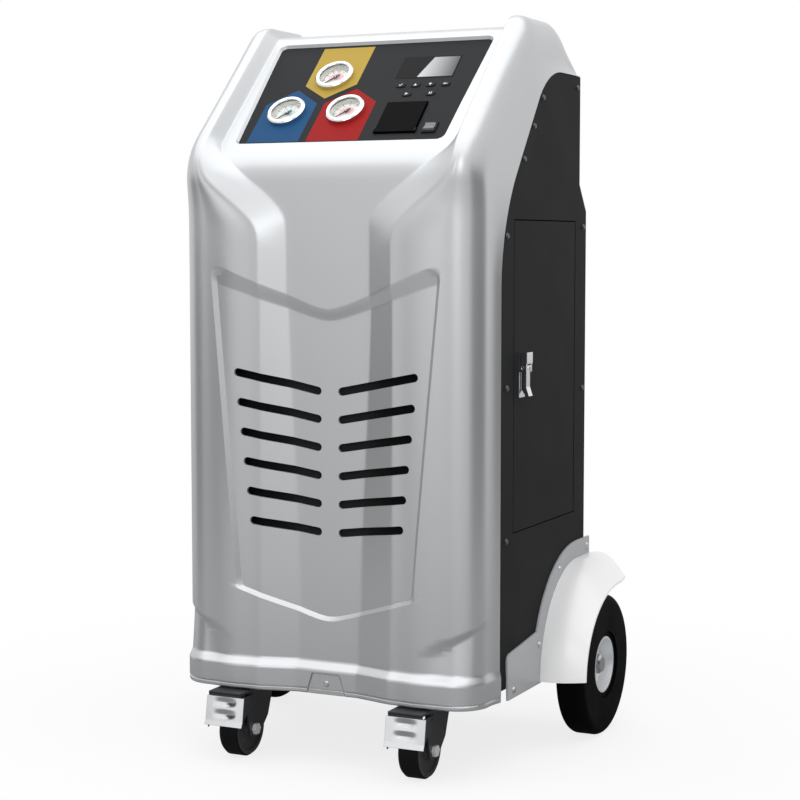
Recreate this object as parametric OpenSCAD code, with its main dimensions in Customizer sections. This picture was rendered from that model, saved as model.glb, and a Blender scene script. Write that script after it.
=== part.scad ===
// Refrigerant recovery machine on two rear wheels and two swivel casters.
// Millimetres, +Z up, front facing -Y, origin on the floor under the middle of the machine.
// Fore-and-aft sizes are measured from the line of the front caster axles; place() moves them.

/* [Cabinet] */
// Width over the two side panels
body_w = 451; // [440:1:470]
// Sheet thickness of the side, rear and door panels
sheet_t = 2; // [1:0.5:3]
// Lower rear face, behind the caster axle line
back_low_y = 373; // [369:1:385]
// Upper rear face, behind the caster axle line
back_top_y = 345; // [335:1:355]
// Height where the rear face starts to step forward
step_low_z = 745; // [700:1:770]
// Height where the step in the rear face ends
step_top_z = 783; // [776:1:820]
// Front edge of the side panels
side_front_y = 51; // [46:1:56]
// Height of the knee in the side panel's front edge
side_knee_z = 725; // [710:1:740]
// Run of the side panel's sloping upper front edge
slope_run = 164; // [150:1:175]
// Top edge of the side panels
side_top_z = 935; // [925:1:940]
// Underside of the base tray, which is the height of the casters
floor_z = 110; // [110:1:120]
// Thickness of the base tray
tray_t = 3; // [2:0.5:4]
// Height of the tray's upturned edge
tray_lip = 36; // [20:1:44]
// Width of the frame's flange behind each side panel
frame_w = 26; // [18:1:28]
// Thickness of the frame's flange
frame_t = 4; // [3:0.5:5]

/* [Front cover] */
// Wall of the moulded cover
cover_t = 4; // [3:0.5:5]
// Lower edge of the cover
skirt_z = 98; // [98:1:104]
// Height of the band along the lower edge
skirt_band = 33; // [26:1:40]
// How far the band stands out from the face
skirt_out = 9; // [6:1:12]
// Height of the sloping ledge on top of the band
ledge_h = 10; // [6:1:14]
// How far the two lobes stand out from the middle of the face
lobe_out = 14; // [8:1:18]
// Crown of each lobe
lobe_crown = 3; // [0:0.5:5]
// Height of the two arms beside the control panel, above its rim
arm_h = 20; // [14:1:24]
// Height of the two horns above the top of the rim
horn_h = 12; // [6:1:16]
// Top of the rim behind the control panel
rim_top_z = 994; // [986:1:1004]
// Slope of the cover's rear
rear_slope = 43; // [38:1:48]
// Half width of the cover's side wall in the valley beside the panel
valley_x = 220; // [214:1:222]
// Depth of the chevron recess in the face
recess_d = 6; // [3:0.5:8]
// Height of the recess's upper corners
recess_top_z = 675; // [665:1:685]
// Height of the recess's lower corners
recess_low_z = 246; // [236:1:256]
// Half width of the recess at the top
recess_top_x = 171; // [164:1:174]
// Half width of the recess at the bottom
recess_low_x = 132; // [124:1:140]

/* [Vents] */
// Rows of cooling slots
vent_rows = 6; // [3:1:6]
// Height of one slot
vent_h = 11; // [7:1:13]
// Height of the top slot's outer end
vent_top_z = 527; // [515:1:535]
// Distance from row to row
vent_pitch = 40; // [34:1:42]
// Outer end of the top slot
vent_out_x = 131; // [125:1:136]
// Inner end of the slots
vent_in_x = 18; // [13:1:24]

/* [Control panel] */
// Tilt of the panel from level
panel_tilt = 43.8; // [42:0.1:46]
// Lower edge of the visible panel, behind the caster axle line
panel_y = 30; // [27:1:33]
// Height of the visible panel's lower edge
panel_z = 833; // [829:1:837]
// Width of the visible panel along its lower edge
panel_w = 304; // [298:1:312]
// Width of the visible panel along its upper edge
panel_top_w = 324; // [314:1:328]
// Length of the visible panel up its slope
panel_l = 205; // [195:1:206]
// Thickness of the panel
panel_t = 3; // [2:0.5:4]
// Outside diameter of a gauge bezel
gauge_d = 55; // [48:1:58]
// Height of a gauge bezel
bezel_h = 7; // [6:0.5:9]
// Length of a pointer from its spindle
needle_l = 17; // [12:0.5:18]
// Width of a key
key_w = 14; // [11:0.5:15]
// Height of a key
key_h = 9; // [7:0.5:10]
// Travel of a key
key_travel = 1; // [0.5:0.1:1.2]
// Width of the display window
display_w = 86; // [76:1:90]
// Height of the display window
display_h = 46; // [40:1:48]
// Width of the printer cover
printer_w = 58; // [50:1:60]
// Length of the printer cover up the panel
printer_l = 60; // [52:1:62]
// Width and length of the power switch
switch_w = 21; // [19:1:23]

/* [Service door] */
// Front edge of the door, behind the caster axle line
door_y = 98; // [95:1:110]
// Rear edge of the door
door_back_y = 327; // [300:1:328]
// Lower edge of the door
door_z = 317; // [305:1:340]
// Height of the door
door_h = 413; // [380:1:420]
// Depth of the door's folded edge
door_fold = 10; // [8:1:12]
// Height of the latch handle's lower end
latch_z = 498; // [480:1:520]
// Length of the latch plate
latch_l = 60; // [56:1:70]
// Width of the latch plate
latch_w = 20; // [18:1:24]

/* [Rear wheels] */
// Diameter of a rear wheel
wheel_d = 200; // [190:1:204]
// Width of a rear tyre
wheel_w = 42; // [38:1:46]
// Inner face of a tyre from the middle of the machine
wheel_x = 239; // [236:1:242]
// Rear axle behind the caster axles
wheelbase = 319; // [312:1:324]
// Diameter of the axle
axle_d = 18; // [14:0.5:18]
// Diameter of the hub
hub_d = 80; // [70:1:90]
// Thickness of the wheel bracket
bracket_t = 3; // [2:0.5:4]
// Outer edge of the mudguard from the middle of the machine
guard_x = 295; // [290:1:300]
// Thickness of the mudguard
guard_t = 3; // [2:0.5:4]
// Crown of the mudguard between its edges
guard_crown = 14; // [8:1:18]

/* [Casters] */
// Diameter of a caster wheel
caster_d = 76; // [70:1:80]
// Width of a caster wheel
caster_w = 32; // [28:1:34]
// Caster wheel from the middle of the machine
caster_x = 134.5; // [125:0.5:138]
// Swivel axis behind the wheel's axle
caster_trail = 30; // [24:1:34]
// Front of the brake pedal, ahead of the wheel's axle
pedal_reach = 52; // [50:1:56]
// Width of the brake pedal
pedal_w = 57; // [55:1:60]

/* [Inside] */
// Diameter of the refrigerant tank
tank_d = 214; // [180:1:216]
// Height of the refrigerant tank's body
tank_h = 390; // [340:1:420]
// Diameter of the compressor
comp_d = 132; // [110:1:136]
// Height of the compressor's shell
comp_h = 160; // [130:1:165]
// Diameter of the filter drier
drier_d = 76; // [60:1:80]
// Diameter of the cooling fan
fan_d = 196; // [180:1:200]
// Length of the vacuum pump's base
pump_l = 124; // [110:1:126]

/* [Hidden] */
$fn = 48;

run_fit = 0.05;
slide_fit = 0.15;
seat_gap = 0.3;
door_gap = 1.5;
swing_gap = 2.5;
eps = 0.01;

axle_z = wheel_d / 2;
caster_z = caster_d / 2;
machine_depth = pedal_reach + wheelbase + wheel_d / 2;
y0 = pedal_reach - machine_depth / 2;
side_x = body_w / 2;
side_in_x = side_x - sheet_t;
lip_x = side_x + 1;
tray_top = floor_z + tray_t;
frame_in_x = side_in_x - frame_t;

// Blends a to b by the fraction f.
function mix(a, b, f) = a + (b - a) * f;
// Runs 0 to 1 with level ends while x goes from a to b.
function smooth(a, b, x) = let (f = min(1, max(0, (x - a) / (b - a)))) f * f * (3 - 2 * f);
function arc_len(r, a) = r * a * PI / 180;

// Moves a shape from the caster axle line to the origin.
module place() translate([0, y0, 0]) children();
// Extrudes an outline drawn in Y and Z by w along X, from x.
module along_x(x, w) translate([x, 0, 0]) rotate([90, 0, 90]) linear_extrude(w) children();
module rod_x(x, w, r, y, z) translate([x, y, z]) rotate([0, 90, 0]) cylinder(r = r, h = w);
module rod_y(y, l, r, x, z) translate([x, y, z]) rotate([-90, 0, 0]) cylinder(r = r, h = l);
module mirror_x(side) mirror([side < 0 ? 1 : 0, 0, 0]) children();
module both_sides() for (side = [-1, 1]) mirror_x(side) children();
module round_rect(w, l, r) {
    square([w - 2 * r, l], center = true);
    square([w, l - 2 * r], center = true);
    for (sx = [-1, 1], sy = [-1, 1]) translate([sx * (w / 2 - r), sy * (l / 2 - r)]) circle(r);
}
// Solid between two grids of points of one size, with cols points to a row.
module grid_solid(outer, inner, cols) {
    n = len(outer);
    rows = n / cols;
    function at(r, c) = r * cols + c;
    function quad(a, b, c, d) = [[a, b, c], [a, c, d]];
    polyhedron(points = concat(outer, inner), convexity = 8, faces = concat(
        [for (r = [0:rows - 2], c = [0:cols - 2])
            each quad(at(r, c), at(r + 1, c), at(r + 1, c + 1), at(r, c + 1))],
        [for (r = [0:rows - 2], c = [0:cols - 2])
            each quad(n + at(r, c), n + at(r, c + 1), n + at(r + 1, c + 1), n + at(r + 1, c))],
        [for (c = [0:cols - 2])
            each quad(at(0, c), at(0, c + 1), n + at(0, c + 1), n + at(0, c))],
        [for (c = [0:cols - 2], r = rows - 1)
            each quad(at(r, c + 1), at(r, c), n + at(r, c), n + at(r, c + 1))],
        [for (r = [0:rows - 2])
            each quad(at(r + 1, 0), at(r, 0), n + at(r, 0), n + at(r + 1, 0))],
        [for (r = [0:rows - 2], c = cols - 1)
            each quad(at(r, c), at(r + 1, c), n + at(r + 1, c), n + at(r, c))]));
}
// Draws in the panel's plane: x across, y up the slope from its lower edge, z out of its face.
module on_panel() translate([0, panel_y, panel_z]) rotate([panel_tilt, 0, 0]) children();

// Side outline of the cabinet: straight up, bent back at the knee, level at the top.
knee_fillet = 250;
top_fillet = 110;
side_slope = atan2(side_top_z - side_knee_z, slope_run);
knee_tan = knee_fillet * tan((90 - side_slope) / 2);
top_tan = top_fillet * tan(side_slope / 2);
side_back_y = back_top_y - sheet_t;
o1 = side_knee_z - knee_tan - skirt_z;
o2 = o1 + arc_len(knee_fillet, 90 - side_slope);
o3 = o2 + slope_run / cos(side_slope) - knee_tan - top_tan;
o4 = o3 + arc_len(top_fillet, side_slope);
o5 = o4 + side_back_y - side_front_y - slope_run - top_tan;
// Point of the side outline at length s, with its heading: [y, z, angle].
function outline(s) =
    s <= o1 ? [side_front_y, skirt_z + s, 90] :
    s <= o2 ? let (a = (s - o1) / arc_len(knee_fillet, 1))
        [side_front_y + knee_fillet * (1 - cos(a)), skirt_z + o1 + knee_fillet * sin(a), 90 - a] :
    s <= o3 ? let (d = knee_tan + s - o2)
        [side_front_y + d * cos(side_slope), side_knee_z + d * sin(side_slope), side_slope] :
    s <= o4 ? let (a = side_slope - (s - o3) / arc_len(top_fillet, 1))
        [side_front_y + slope_run + top_tan - top_fillet * sin(a),
         side_top_z - top_fillet * (1 - cos(a)), a] :
    [side_back_y - (o5 - s), side_top_z, 0];
function inset_point(s, d) = let (p = outline(s)) [p[0] + d * sin(p[2]), p[1] - d * cos(p[2])];
outline_steps = concat([o1], [for (i = [1:7]) mix(o1, o2, i / 7)], [for (i = [0:7]) mix(o3, o4, i / 7)]);
// Cabinet side from its outline, set in by d along the front and top and by back at the rear.
module side_shape(d, back, low) polygon(concat(
    [[side_front_y + d, low]],
    [for (s = outline_steps) inset_point(s, d)],
    [[back_top_y - back, side_top_z - d],
     [back_top_y - back, step_top_z],
     [back_low_y - back, step_low_z],
     [back_low_y - back, low]]));

// Front cover: a profile up the face, back along the arms and down behind, with a section across it.
rim_h = cover_t + seat_gap;
face_turn = 90 - panel_tilt;
knee_r = 60;
crest_r = 40;
cover_knee_z = panel_z + rim_h * cos(panel_tilt)
    - (panel_y - rim_h * sin(panel_tilt)) * tan(panel_tilt);
knee_t = knee_r * tan(face_turn / 2);
crest_t = crest_r * tan(panel_tilt / 2);
rear_t = crest_r * tan(rear_slope / 2);
cover_back_z = side_top_z + 3;
crest_y = (rim_top_z - cover_knee_z) / tan(panel_tilt);
fall_y = side_back_y - (rim_top_z - cover_back_z) / tan(rear_slope);
v1 = cover_knee_z - knee_t - skirt_z;
v2 = v1 + arc_len(knee_r, face_turn);
v3 = v2 + crest_y / cos(panel_tilt) - knee_t - crest_t;
v4 = v3 + arc_len(crest_r, panel_tilt);
v5 = v4 + fall_y - crest_y - crest_t - rear_t;
v6 = v5 + arc_len(crest_r, rear_slope);
v7 = v6 + (side_back_y - fall_y) / cos(rear_slope) - rear_t;
// Point of the cover's profile at length v, with its heading: [y, z, angle].
function profile(v) =
    v <= v1 ? [0, skirt_z + v, 90] :
    v <= v2 ? let (a = (v - v1) / arc_len(knee_r, 1))
        [knee_r * (1 - cos(a)), skirt_z + v1 + knee_r * sin(a), 90 - a] :
    v <= v3 ? let (d = knee_t + v - v2)
        [d * cos(panel_tilt), cover_knee_z + d * sin(panel_tilt), panel_tilt] :
    v <= v4 ? let (a = panel_tilt - (v - v3) / arc_len(crest_r, 1))
        [crest_y + crest_t - crest_r * sin(a), rim_top_z - crest_r * (1 - cos(a)), a] :
    v <= v5 ? [crest_y + crest_t + v - v4, rim_top_z, 0] :
    v <= v6 ? let (a = (v - v5) / arc_len(crest_r, 1))
        [fall_y - rear_t + crest_r * sin(a), rim_top_z - crest_r * (1 - cos(a)), -a] :
    let (d = v7 - v)
        [side_back_y - d * cos(rear_slope), cover_back_z + d * sin(rear_slope), -rear_slope];
// Length along the side outline that each station of the profile is drawn down to.
function outline_for(v) = lookup(v, [
    [0, 0], [o1, o1], [v1, mix(o1, o2, 0.75)], [v2, o2], [v3, o3], [v4, mix(o3, o4, 0.55)],
    [v5, o4], [v6, mix(o4, o5, 0.4)], [v7, o5]]);
function ridge_h(v) = lookup(v, [
    [v1 - 40, lobe_out], [v2 + 20, arm_h], [v3, arm_h], [v4, horn_h], [v5, horn_h], [v7, horn_h / 2]]);
// Edges of the slope between the middle and the lobes; they sweep out to the arms at the top.
lobe_in_low = 45;
lobe_in_x = 62;
lobe_out_x = 98;
arm_in_x = 174;
arm_out_x = 186;
function ridge_in(v) = mix(
    mix(lobe_in_low, lobe_in_x, smooth(90, 600, v)), arm_in_x, smooth(v1 - 60, v1 + 62, v));
function ridge_out(v) = mix(lobe_out_x, arm_out_x, smooth(v1 - 76, v1 + 24, v));
// Swell of the band along the lower edge.
band_lip = 5;
band_top = skirt_band + ledge_h;
function band(v) = lookup(v, [[0, 0.6], [band_lip, 1], [skirt_band, 1], [band_top, 0]]);
// Chevron recess: its depth, its side edge and the droop of the rows towards the middle.
recess_low = recess_low_z - skirt_z;
recess_top = recess_top_z - skirt_z;
recess_bevel = 25;
recess_step = 5;
recess_edge = 6;
droop_x = 170;
function recess(v) = lookup(v, [
    [recess_low, 0], [recess_low + recess_step, 1], [recess_top - recess_bevel, 1], [recess_top, 0]]);
function recess_x(v) = lookup(v, [[recess_low, recess_low_x], [recess_top, recess_top_x]]);
function droop(v) = lookup(v, [
    [band_top, 0], [recess_low, 0.323], [recess_low + 85, 0.126], [vent_top_z - skirt_z, 0.2],
    [recess_top - recess_bevel, 0.34], [recess_top, 0.4], [recess_top + 25, 0.2],
    [recess_top + 55, 0]]);

cover_rows = concat(
    [0, band_lip, skirt_band, band_top, mix(band_top, recess_low, 0.6)],
    [recess_low, recess_low + recess_step, recess_low + 85, mix(recess_low, recess_top, 0.45)],
    [vent_top_z - skirt_z, recess_top - 70, recess_top - recess_bevel, recess_top],
    [recess_top + 25],
    [for (i = [0:4]) mix(recess_top + 40, v1, i / 5)],
    [for (i = [0:5]) mix(v1, v2, i / 5)],
    [for (i = [1:4]) mix(v2, v3, i / 4)],
    [for (i = [1:4]) mix(v3, v4, i / 4)],
    [mix(v4, v5, 0.5), v5, mix(v5, v6, 0.5), v6, mix(v6, v7, 0.5), v7]);
slope_marks = [[-0.1, 0], [0.1, 0.07], [0.5, 0.5], [0.9, 0.93], [1.1, 1]];
crown_w = 60;
// Corners of the section: beside the face, at the band and beside the panel.
face_corner = 38;
band_corner = 46;
arm_corner_w = 25;
arm_corner_d = 50;
band_in = 3;
band_end = 2;
corner_steps = 6;
flare_steps = 3;
// Half of the cover's section at length v, t inside its outer face, as points from the middle out.
function half_section(v, t) = let (
        base = profile(v),
        out = [-sin(base[2]), cos(base[2])],
        swell = band(v),
        h = ridge_h(v),
        crest = [base[0], base[1]] + out * (h + skirt_out * swell),
        edge = outline(outline_for(v)),
        drop = [edge[0], edge[1]] - crest,
        depth = norm(drop),
        into = drop / depth,
        wall_x = mix(valley_x, lip_x - band_in, swell),
        end_x = lip_x + band_end * swell,
        corner_r = mix(face_corner, band_corner, swell),
        corner_w = mix(corner_r, arm_corner_w, smooth(v1 - 60, v2, v)),
        corner_d = min(mix(corner_r, arm_corner_d, smooth(v1, v2, v)), 0.65 * depth),
        corner_x = wall_x - corner_w,
        x_in = ridge_in(v),
        x_out = min(ridge_out(v), mix(x_in, corner_x - 3, 1 / 1.1)),
        sink = recess(v) * recess_d,
        x_side = min(recess_x(v), corner_x - 0.5),
        face = concat(
            [[0, 0, 1], [x_in / 2, 0, 1]],
            [for (m = slope_marks) [mix(x_in, x_out, m[0]), m[1], 1]],
            v <= recess_top + 1 ?
                [[x_side - recess_edge, 1, 1], [x_side, 1, 0]] :
                [[mix(x_out, corner_x, 0.55), 1, 0], [mix(x_out, corner_x, 0.85), 1, 0]]))
    concat(
        [for (q = face) let (
                lobe_w = corner_x - x_out,
                f = min(1, max(0, (q[0] - x_out) / lobe_w)),
                crown = lobe_crown * min(1, lobe_w / crown_w) * pow(sin(180 * f), 2),
                lift = h * (q[1] - 1) + crown - sink * q[2] - t,
                sag = v < v1 ? droop(v) * max(0, droop_x - q[0]) : 0)
            [q[0], crest[0] + out[0] * lift, crest[1] + out[1] * lift - sag]],
        [for (i = [0:corner_steps]) let (
                a = 90 * i / corner_steps,
                d = corner_d - (corner_d - t) * cos(a))
            [corner_x + (corner_w - t) * sin(a), crest[0] + into[0] * d, crest[1] + into[1] * d]],
        [for (i = [1:flare_steps]) let (
                f = i / flare_steps,
                d = mix(corner_d, depth, f))
            [wall_x - t + (end_x - wall_x) * f * f, crest[0] + into[0] * d, crest[1] + into[1] * d]]);
function mirrored(half) = concat(
    [for (i = [len(half) - 1:-1:1]) [-half[i][0], half[i][1], half[i][2]]], half);
module cover_shell() {
    outer = [for (v = cover_rows) each mirrored(half_section(v, 0))];
    inner = [for (v = cover_rows) each mirrored(half_section(v, cover_t))];
    grid_solid(outer, inner, len(outer) / len(cover_rows));
}
// Cooling slot of one row, leaning down to the middle, cut through the cover's face.
module vent(row) {
    drop = row * vent_pitch;
    out_x = vent_out_x - 4.4 * row;
    lean = mix(0.2, 0.126, row / 5) * (out_x - vent_in_x);
    hull() {
        for (end = [[out_x, vent_top_z - drop], [vent_in_x, vent_top_z - drop - lean]])
            rod_y(-cut_l / 2, cut_l, vent_h / 2, end[0], end[1], $fn = 16);
    }
}
// Shallow tab in the middle of the lower band, with a screw in it.
tab_low_w = 60;
tab_top_w = 42;
tab_h = skirt_band - 4;
tab_d = 1.5;
tab_screw_z = skirt_z + 15;
module band_tab() translate([0, tab_d - skirt_out, skirt_z]) rotate([90, 0, 0]) linear_extrude(cover_t)
    polygon([[-tab_low_w / 2, -1], [tab_low_w / 2, -1], [tab_top_w / 2, tab_h], [-tab_top_w / 2, tab_h]]);
// Outline of the visible panel, wider at the top, grown by a margin.
module panel_outline(grow) polygon([
    [-panel_w / 2 - grow, -grow], [panel_w / 2 + grow, -grow],
    [panel_top_w / 2 + grow, panel_l + grow], [-panel_top_w / 2 - grow, panel_l + grow]]);
opening_r = 8;
cut_l = 80;
module front_cover() color("gainsboro") place() difference() {
    cover_shell();
    on_panel() translate([0, 0, -2 * cover_t]) linear_extrude(cut_l / 2)
        offset(opening_r) offset(delta = -opening_r) panel_outline(0);
    both_sides() for (row = [0:vent_rows - 1]) vent(row);
    band_tab();
    rod_y(-cut_l / 2, cut_l, screw_r + slide_fit, 0, tab_screw_z);
}

// Sheet steel cabinet.
module base_tray() color("dimgray") place() {
    tray_x = frame_in_x;
    tray_front = cover_t - skirt_out + 1;
    tray_back = back_low_y - sheet_t - seat_gap;
    corner = band_corner;
    translate([0, 0, floor_z]) linear_extrude(tray_t) polygon([
        [-tray_x + corner, tray_front], [tray_x - corner, tray_front], [tray_x, tray_front + corner],
        [tray_x, tray_back], [-tray_x, tray_back], [-tray_x, tray_front + corner]]);
    both_sides() translate([tray_x - tray_t, side_front_y + 4, tray_top - eps])
        cube([tray_t, tray_back - side_front_y - 4, tray_lip]);
    translate([-tray_x, tray_back - tray_t, tray_top - eps]) cube([2 * tray_x, tray_t, tray_lip]);
}
bar_low_z = 300;
bar_h = 16;
bar_top_z = 690;
module cabinet_frame() color("slategray") place() {
    set_in = 8;
    ring_front = side_front_y + set_in;
    both_sides() along_x(frame_in_x, frame_t) difference() {
        side_shape(set_in, set_in, tray_top - tray_t);
        side_shape(set_in + frame_w, set_in + frame_w, tray_top + tray_lip);
        translate([door_y - swing_gap, door_z - swing_gap])
            square([door_back_y - door_y + 2 * swing_gap, door_h + 2 * swing_gap]);
    }
    for (z = [bar_low_z, bar_top_z]) translate([-frame_in_x - eps, ring_front, z])
        cube([2 * frame_in_x + 2 * eps, frame_w, bar_h]);
    translate([-frame_in_x - eps, back_top_y - set_in - frame_w, side_top_z - set_in - bar_h])
        cube([2 * frame_in_x + 2 * eps, frame_w, bar_h]);
}
panel_low_z = floor_z + 2;
edge_in = 11;
edge_screws = [for (s = [mix(o1, o2, 0.45), mix(o2, o3, 0.25), mix(o2, o3, 0.7), mix(o3, o4, 0.15)])
    inset_point(s, edge_in)];
side_screws = concat(edge_screws, [
    [back_top_y - edge_in, side_top_z - 1.5 * edge_in],
    [back_low_y - edge_in, step_low_z - 2 * edge_in],
    [back_low_y - edge_in, mix(panel_low_z, step_low_z, 0.6)],
    [side_front_y + 2 * edge_in, mix(panel_low_z, side_knee_z, 0.65)],
    [side_front_y + 2 * edge_in, mix(panel_low_z, side_knee_z, 0.32)]]);
screw_r = 2;
module side_sheet() along_x(side_in_x, sheet_t) difference() {
    side_shape(0.6, 0, panel_low_z);
    for (p = side_screws) translate(p) circle(screw_r + slide_fit);
}
module side_panel_left() color("#2b2b2d") place() mirror_x(-1) side_sheet();
module side_panel_right() color("#2b2b2d") place() difference() {
    side_sheet();
    along_x(side_in_x - 1, sheet_t + 2)
        translate([door_y - door_gap, door_z - door_gap])
        square([door_back_y - door_y + door_gap + swing_gap, door_h + 2 * door_gap]);
}
inlet_x = -150;
inlet_z = 215;
inlet_w = 48;
inlet_h = 28;
port_z = 655;
port_x = [110, 165];
port_r = 11;
louvre_w = 120;
louvre_h = 7;
louvre_pitch = 26;
louvre_z = 330;
louvre_rows = 9;
louvre_x = 100;
hood_d = 6;
module rear_panel() color("#2b2b2d") place() {
    half = side_in_x - seat_gap;
    difference() {
        along_x(-half, 2 * half) polygon([
            [back_top_y, side_top_z - 1], [back_top_y, step_top_z], [back_low_y, step_low_z],
            [back_low_y, panel_low_z], [back_low_y - sheet_t, panel_low_z],
            [back_low_y - sheet_t, step_low_z - sheet_t / 3],
            [back_top_y - sheet_t, step_top_z - sheet_t / 3], [back_top_y - sheet_t, side_top_z - 1]]);
        for (side = [-1, 1], i = [0:louvre_rows - 1])
            translate([side * louvre_x - louvre_w / 2, back_low_y - 2 * sheet_t, louvre_z])
            translate([0, 0, i * louvre_pitch])
            cube([louvre_w, 4 * sheet_t, louvre_h]);
        translate([inlet_x - inlet_w / 2, back_low_y - 2 * sheet_t, inlet_z - inlet_h / 2])
            cube([inlet_w, 4 * sheet_t, inlet_h]);
        for (x = port_x) rod_y(back_low_y - 2 * sheet_t, 4 * sheet_t, port_r + slide_fit, x, port_z);
    }
    // Hood over each louvre slot
    for (side = [-1, 1], i = [0:louvre_rows - 1])
        along_x(side * louvre_x - louvre_w / 2, louvre_w)
        translate([back_low_y - eps, louvre_z + i * louvre_pitch])
        polygon([[0, louvre_h], [0, louvre_h + 5], [hood_d, 1], [hood_d, 0]]);
}
plate_x = 62;
plate_foot = 20;
plate_gap = 4;
module service_plate() color("silver") place() {
    front = shroud_y + shroud_d + plate_gap;
    len_y = back_low_y - sheet_t - tray_t - plate_gap - front;
    translate([plate_x, front, tray_top]) cube([sheet_t, len_y, bar_top_z - tray_top]);
    translate([plate_x + sheet_t - plate_foot, front, tray_top]) cube([plate_foot, len_y, sheet_t]);
}

// Control panel and what is set in it.
seat_w = 5;
gauges = [[-101, 64.5], [-11, 64.5], [-54, 138]];
gauge_hole = gauge_d / 2 - 3;
case_r = gauge_hole - slide_fit;
display_at = [83, 151];
keys = [[54, 113.5], [76, 113.5], [98, 113.5], [120, 113.5], [69, 95], [104, 95]];
printer_at = [77.5, 46.5];
printer_body_w = printer_w + 3.6;
printer_body_l = printer_l + 3.7;
switch_at = [126, 25];
switch_body = switch_w - 3;
module panel_hole(at) translate([at[0], at[1], -panel_t - 1]) linear_extrude(panel_t + 2) children();
module key_shape(grow) {
    run = key_w - key_h;
    square([run, key_h + 2 * grow], center = true);
    for (sx = [-1, 1]) translate([sx * run / 2, 0]) circle(key_h / 2 + grow);
}
module control_panel() color("#3c3d40") place() on_panel() difference() {
    translate([0, 0, -panel_t]) linear_extrude(panel_t)
        panel_outline(seat_w);
    for (g = gauges) panel_hole(g) circle(gauge_hole);
    panel_hole(display_at) square([display_w + 2 * slide_fit, display_h + 2 * slide_fit], center = true);
    for (k = keys) panel_hole(k) key_shape(slide_fit);
    panel_hole(printer_at)
        square([printer_body_w + 2 * slide_fit, printer_body_l + 2 * slide_fit], center = true);
    panel_hole(switch_at) square(switch_body + 2 * slide_fit, center = true);
}
board_n = -24;
board_t = 1.6;
board_l = 2 * display_h - 4;
post_r = 3;
lens_n = -2.2;
lens_t = 2.4;
module control_board() color("darkgreen") place() on_panel() {
    translate([display_at[0], display_at[1] - display_h / 2, board_n]) linear_extrude(board_t)
        square([display_w + 20, board_l], center = true);
    translate([display_at[0], display_at[1], board_n]) linear_extrude(lens_n - board_n)
        square([display_w - 4, display_h - 4], center = true);
    for (sx = [-1, 1]) translate([display_at[0] + sx * (display_w / 2 + 5), display_at[1] + 14, board_n])
        cylinder(r = post_r, h = -board_n - panel_t);
    for (k = keys) translate([k[0], k[1], board_n]) cylinder(r = post_r, h = -board_n / 2);
}
module display_lens() color("#22262a") place() on_panel()
    translate([display_at[0], display_at[1], lens_n]) linear_extrude(lens_t)
    square([display_w, display_h], center = true);
dial_n = -3;
spindle_r = 1;
case_d = 34;
case_wall = 1.5;
stem_l = 16;
module gauge_cases() color("whitesmoke") place() on_panel() for (g = gauges) translate(g) {
    rotate_extrude() polygon([[0, -case_d], [case_r - 2, -case_d], [case_r, 2 - case_d], [case_r, 1],
        [case_r - case_wall, 1], [case_r - case_wall, dial_n], [0, dial_n]]);
    translate([0, 0, dial_n - eps]) cylinder(r = spindle_r, h = -dial_n + 2);
    translate([0, 0, -case_d - stem_l]) cylinder(r = gauge_d / 9, h = stem_l + 1, $fn = 6);
}
module gauge_bezels() color("lightgray") place() on_panel() for (g = gauges) translate(g)
    rotate_extrude() polygon([[case_r + seat_gap, 0], [gauge_d / 2, 0], [gauge_d / 2, bezel_h - 2],
        [gauge_d / 2 - 2, bezel_h], [case_r - 2, bezel_h], [case_r - 3, bezel_h - 1],
        [case_r - 3, bezel_h - 2], [case_r + seat_gap, bezel_h - 2]]);
module gauge_lenses() color("lightcyan", 0.4) place() on_panel() for (g = gauges) translate(g)
    translate([0, 0, bezel_h - 4 + seat_gap / 2]) cylinder(r = case_r, h = 2 - seat_gap);
zero_angle = 225;
module needle(g) color("black") place() on_panel() translate([g[0], g[1], dial_n + 2]) difference() {
    union() {
        cylinder(r = 3, h = 1.2);
        rotate(zero_angle) linear_extrude(1)
            polygon([[-7, -1.2], [-7, 1.2], [needle_l, 0.4], [needle_l, -0.4]]);
    }
    translate([0, 0, -1]) cylinder(r = spindle_r + run_fit, h = 4);
}
module needle_low() needle(gauges[0]);
module needle_high() needle(gauges[1]);
module needle_tank() needle(gauges[2]);
key_proud = key_travel + 0.2;
module key(k) color("#18181a") place() on_panel() translate(k) {
    translate([0, 0, -panel_t - 1]) linear_extrude(panel_t + 1 + key_proud) key_shape(0);
    translate([0, 0, -panel_t - 1.4]) linear_extrude(1.2) key_shape(1.2);
}
module key_enter() key(keys[0]);
module key_up() key(keys[1]);
module key_down() key(keys[2]);
module key_back() key(keys[3]);
module key_start() key(keys[4]);
module key_pause() key(keys[5]);
rocker_w = switch_w - 6;
rocker_l = switch_w - 8;
rocker_n = -2;
rocker_pin = 1.5;
rocker_tilt = 8;
module rocker_frame() color("#1c1c1e") place() on_panel() translate(switch_at) difference() {
    union() {
        linear_extrude(2) round_rect(switch_w, switch_w, 2);
        translate([0, 0, -22]) linear_extrude(22 + eps) square(switch_body, center = true);
    }
    translate([-rocker_w / 2 - 0.4, -rocker_l / 2 - 1.4, -11]) cube([rocker_w + 0.8, rocker_l + 2.8, 20]);
    rod_x(-rocker_w / 2 - 1.2, rocker_w + 2.4, rocker_pin + run_fit, 0, rocker_n);
}
module power_rocker() color("#c8c8c8") place() on_panel()
    translate([switch_at[0], switch_at[1], rocker_n]) rotate([-rocker_tilt, 0, 0]) {
        along_x(-rocker_w / 2, rocker_w) polygon([[-rocker_l / 2, -4], [rocker_l / 2, -4],
            [rocker_l / 2, 5.5], [0, 4], [-rocker_l / 2, 5.5]]);
        rod_x(-rocker_w / 2 - 1, rocker_w + 2, rocker_pin, 0, 0);
    }
hinge_s = -printer_l / 2 + 3;
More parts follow.
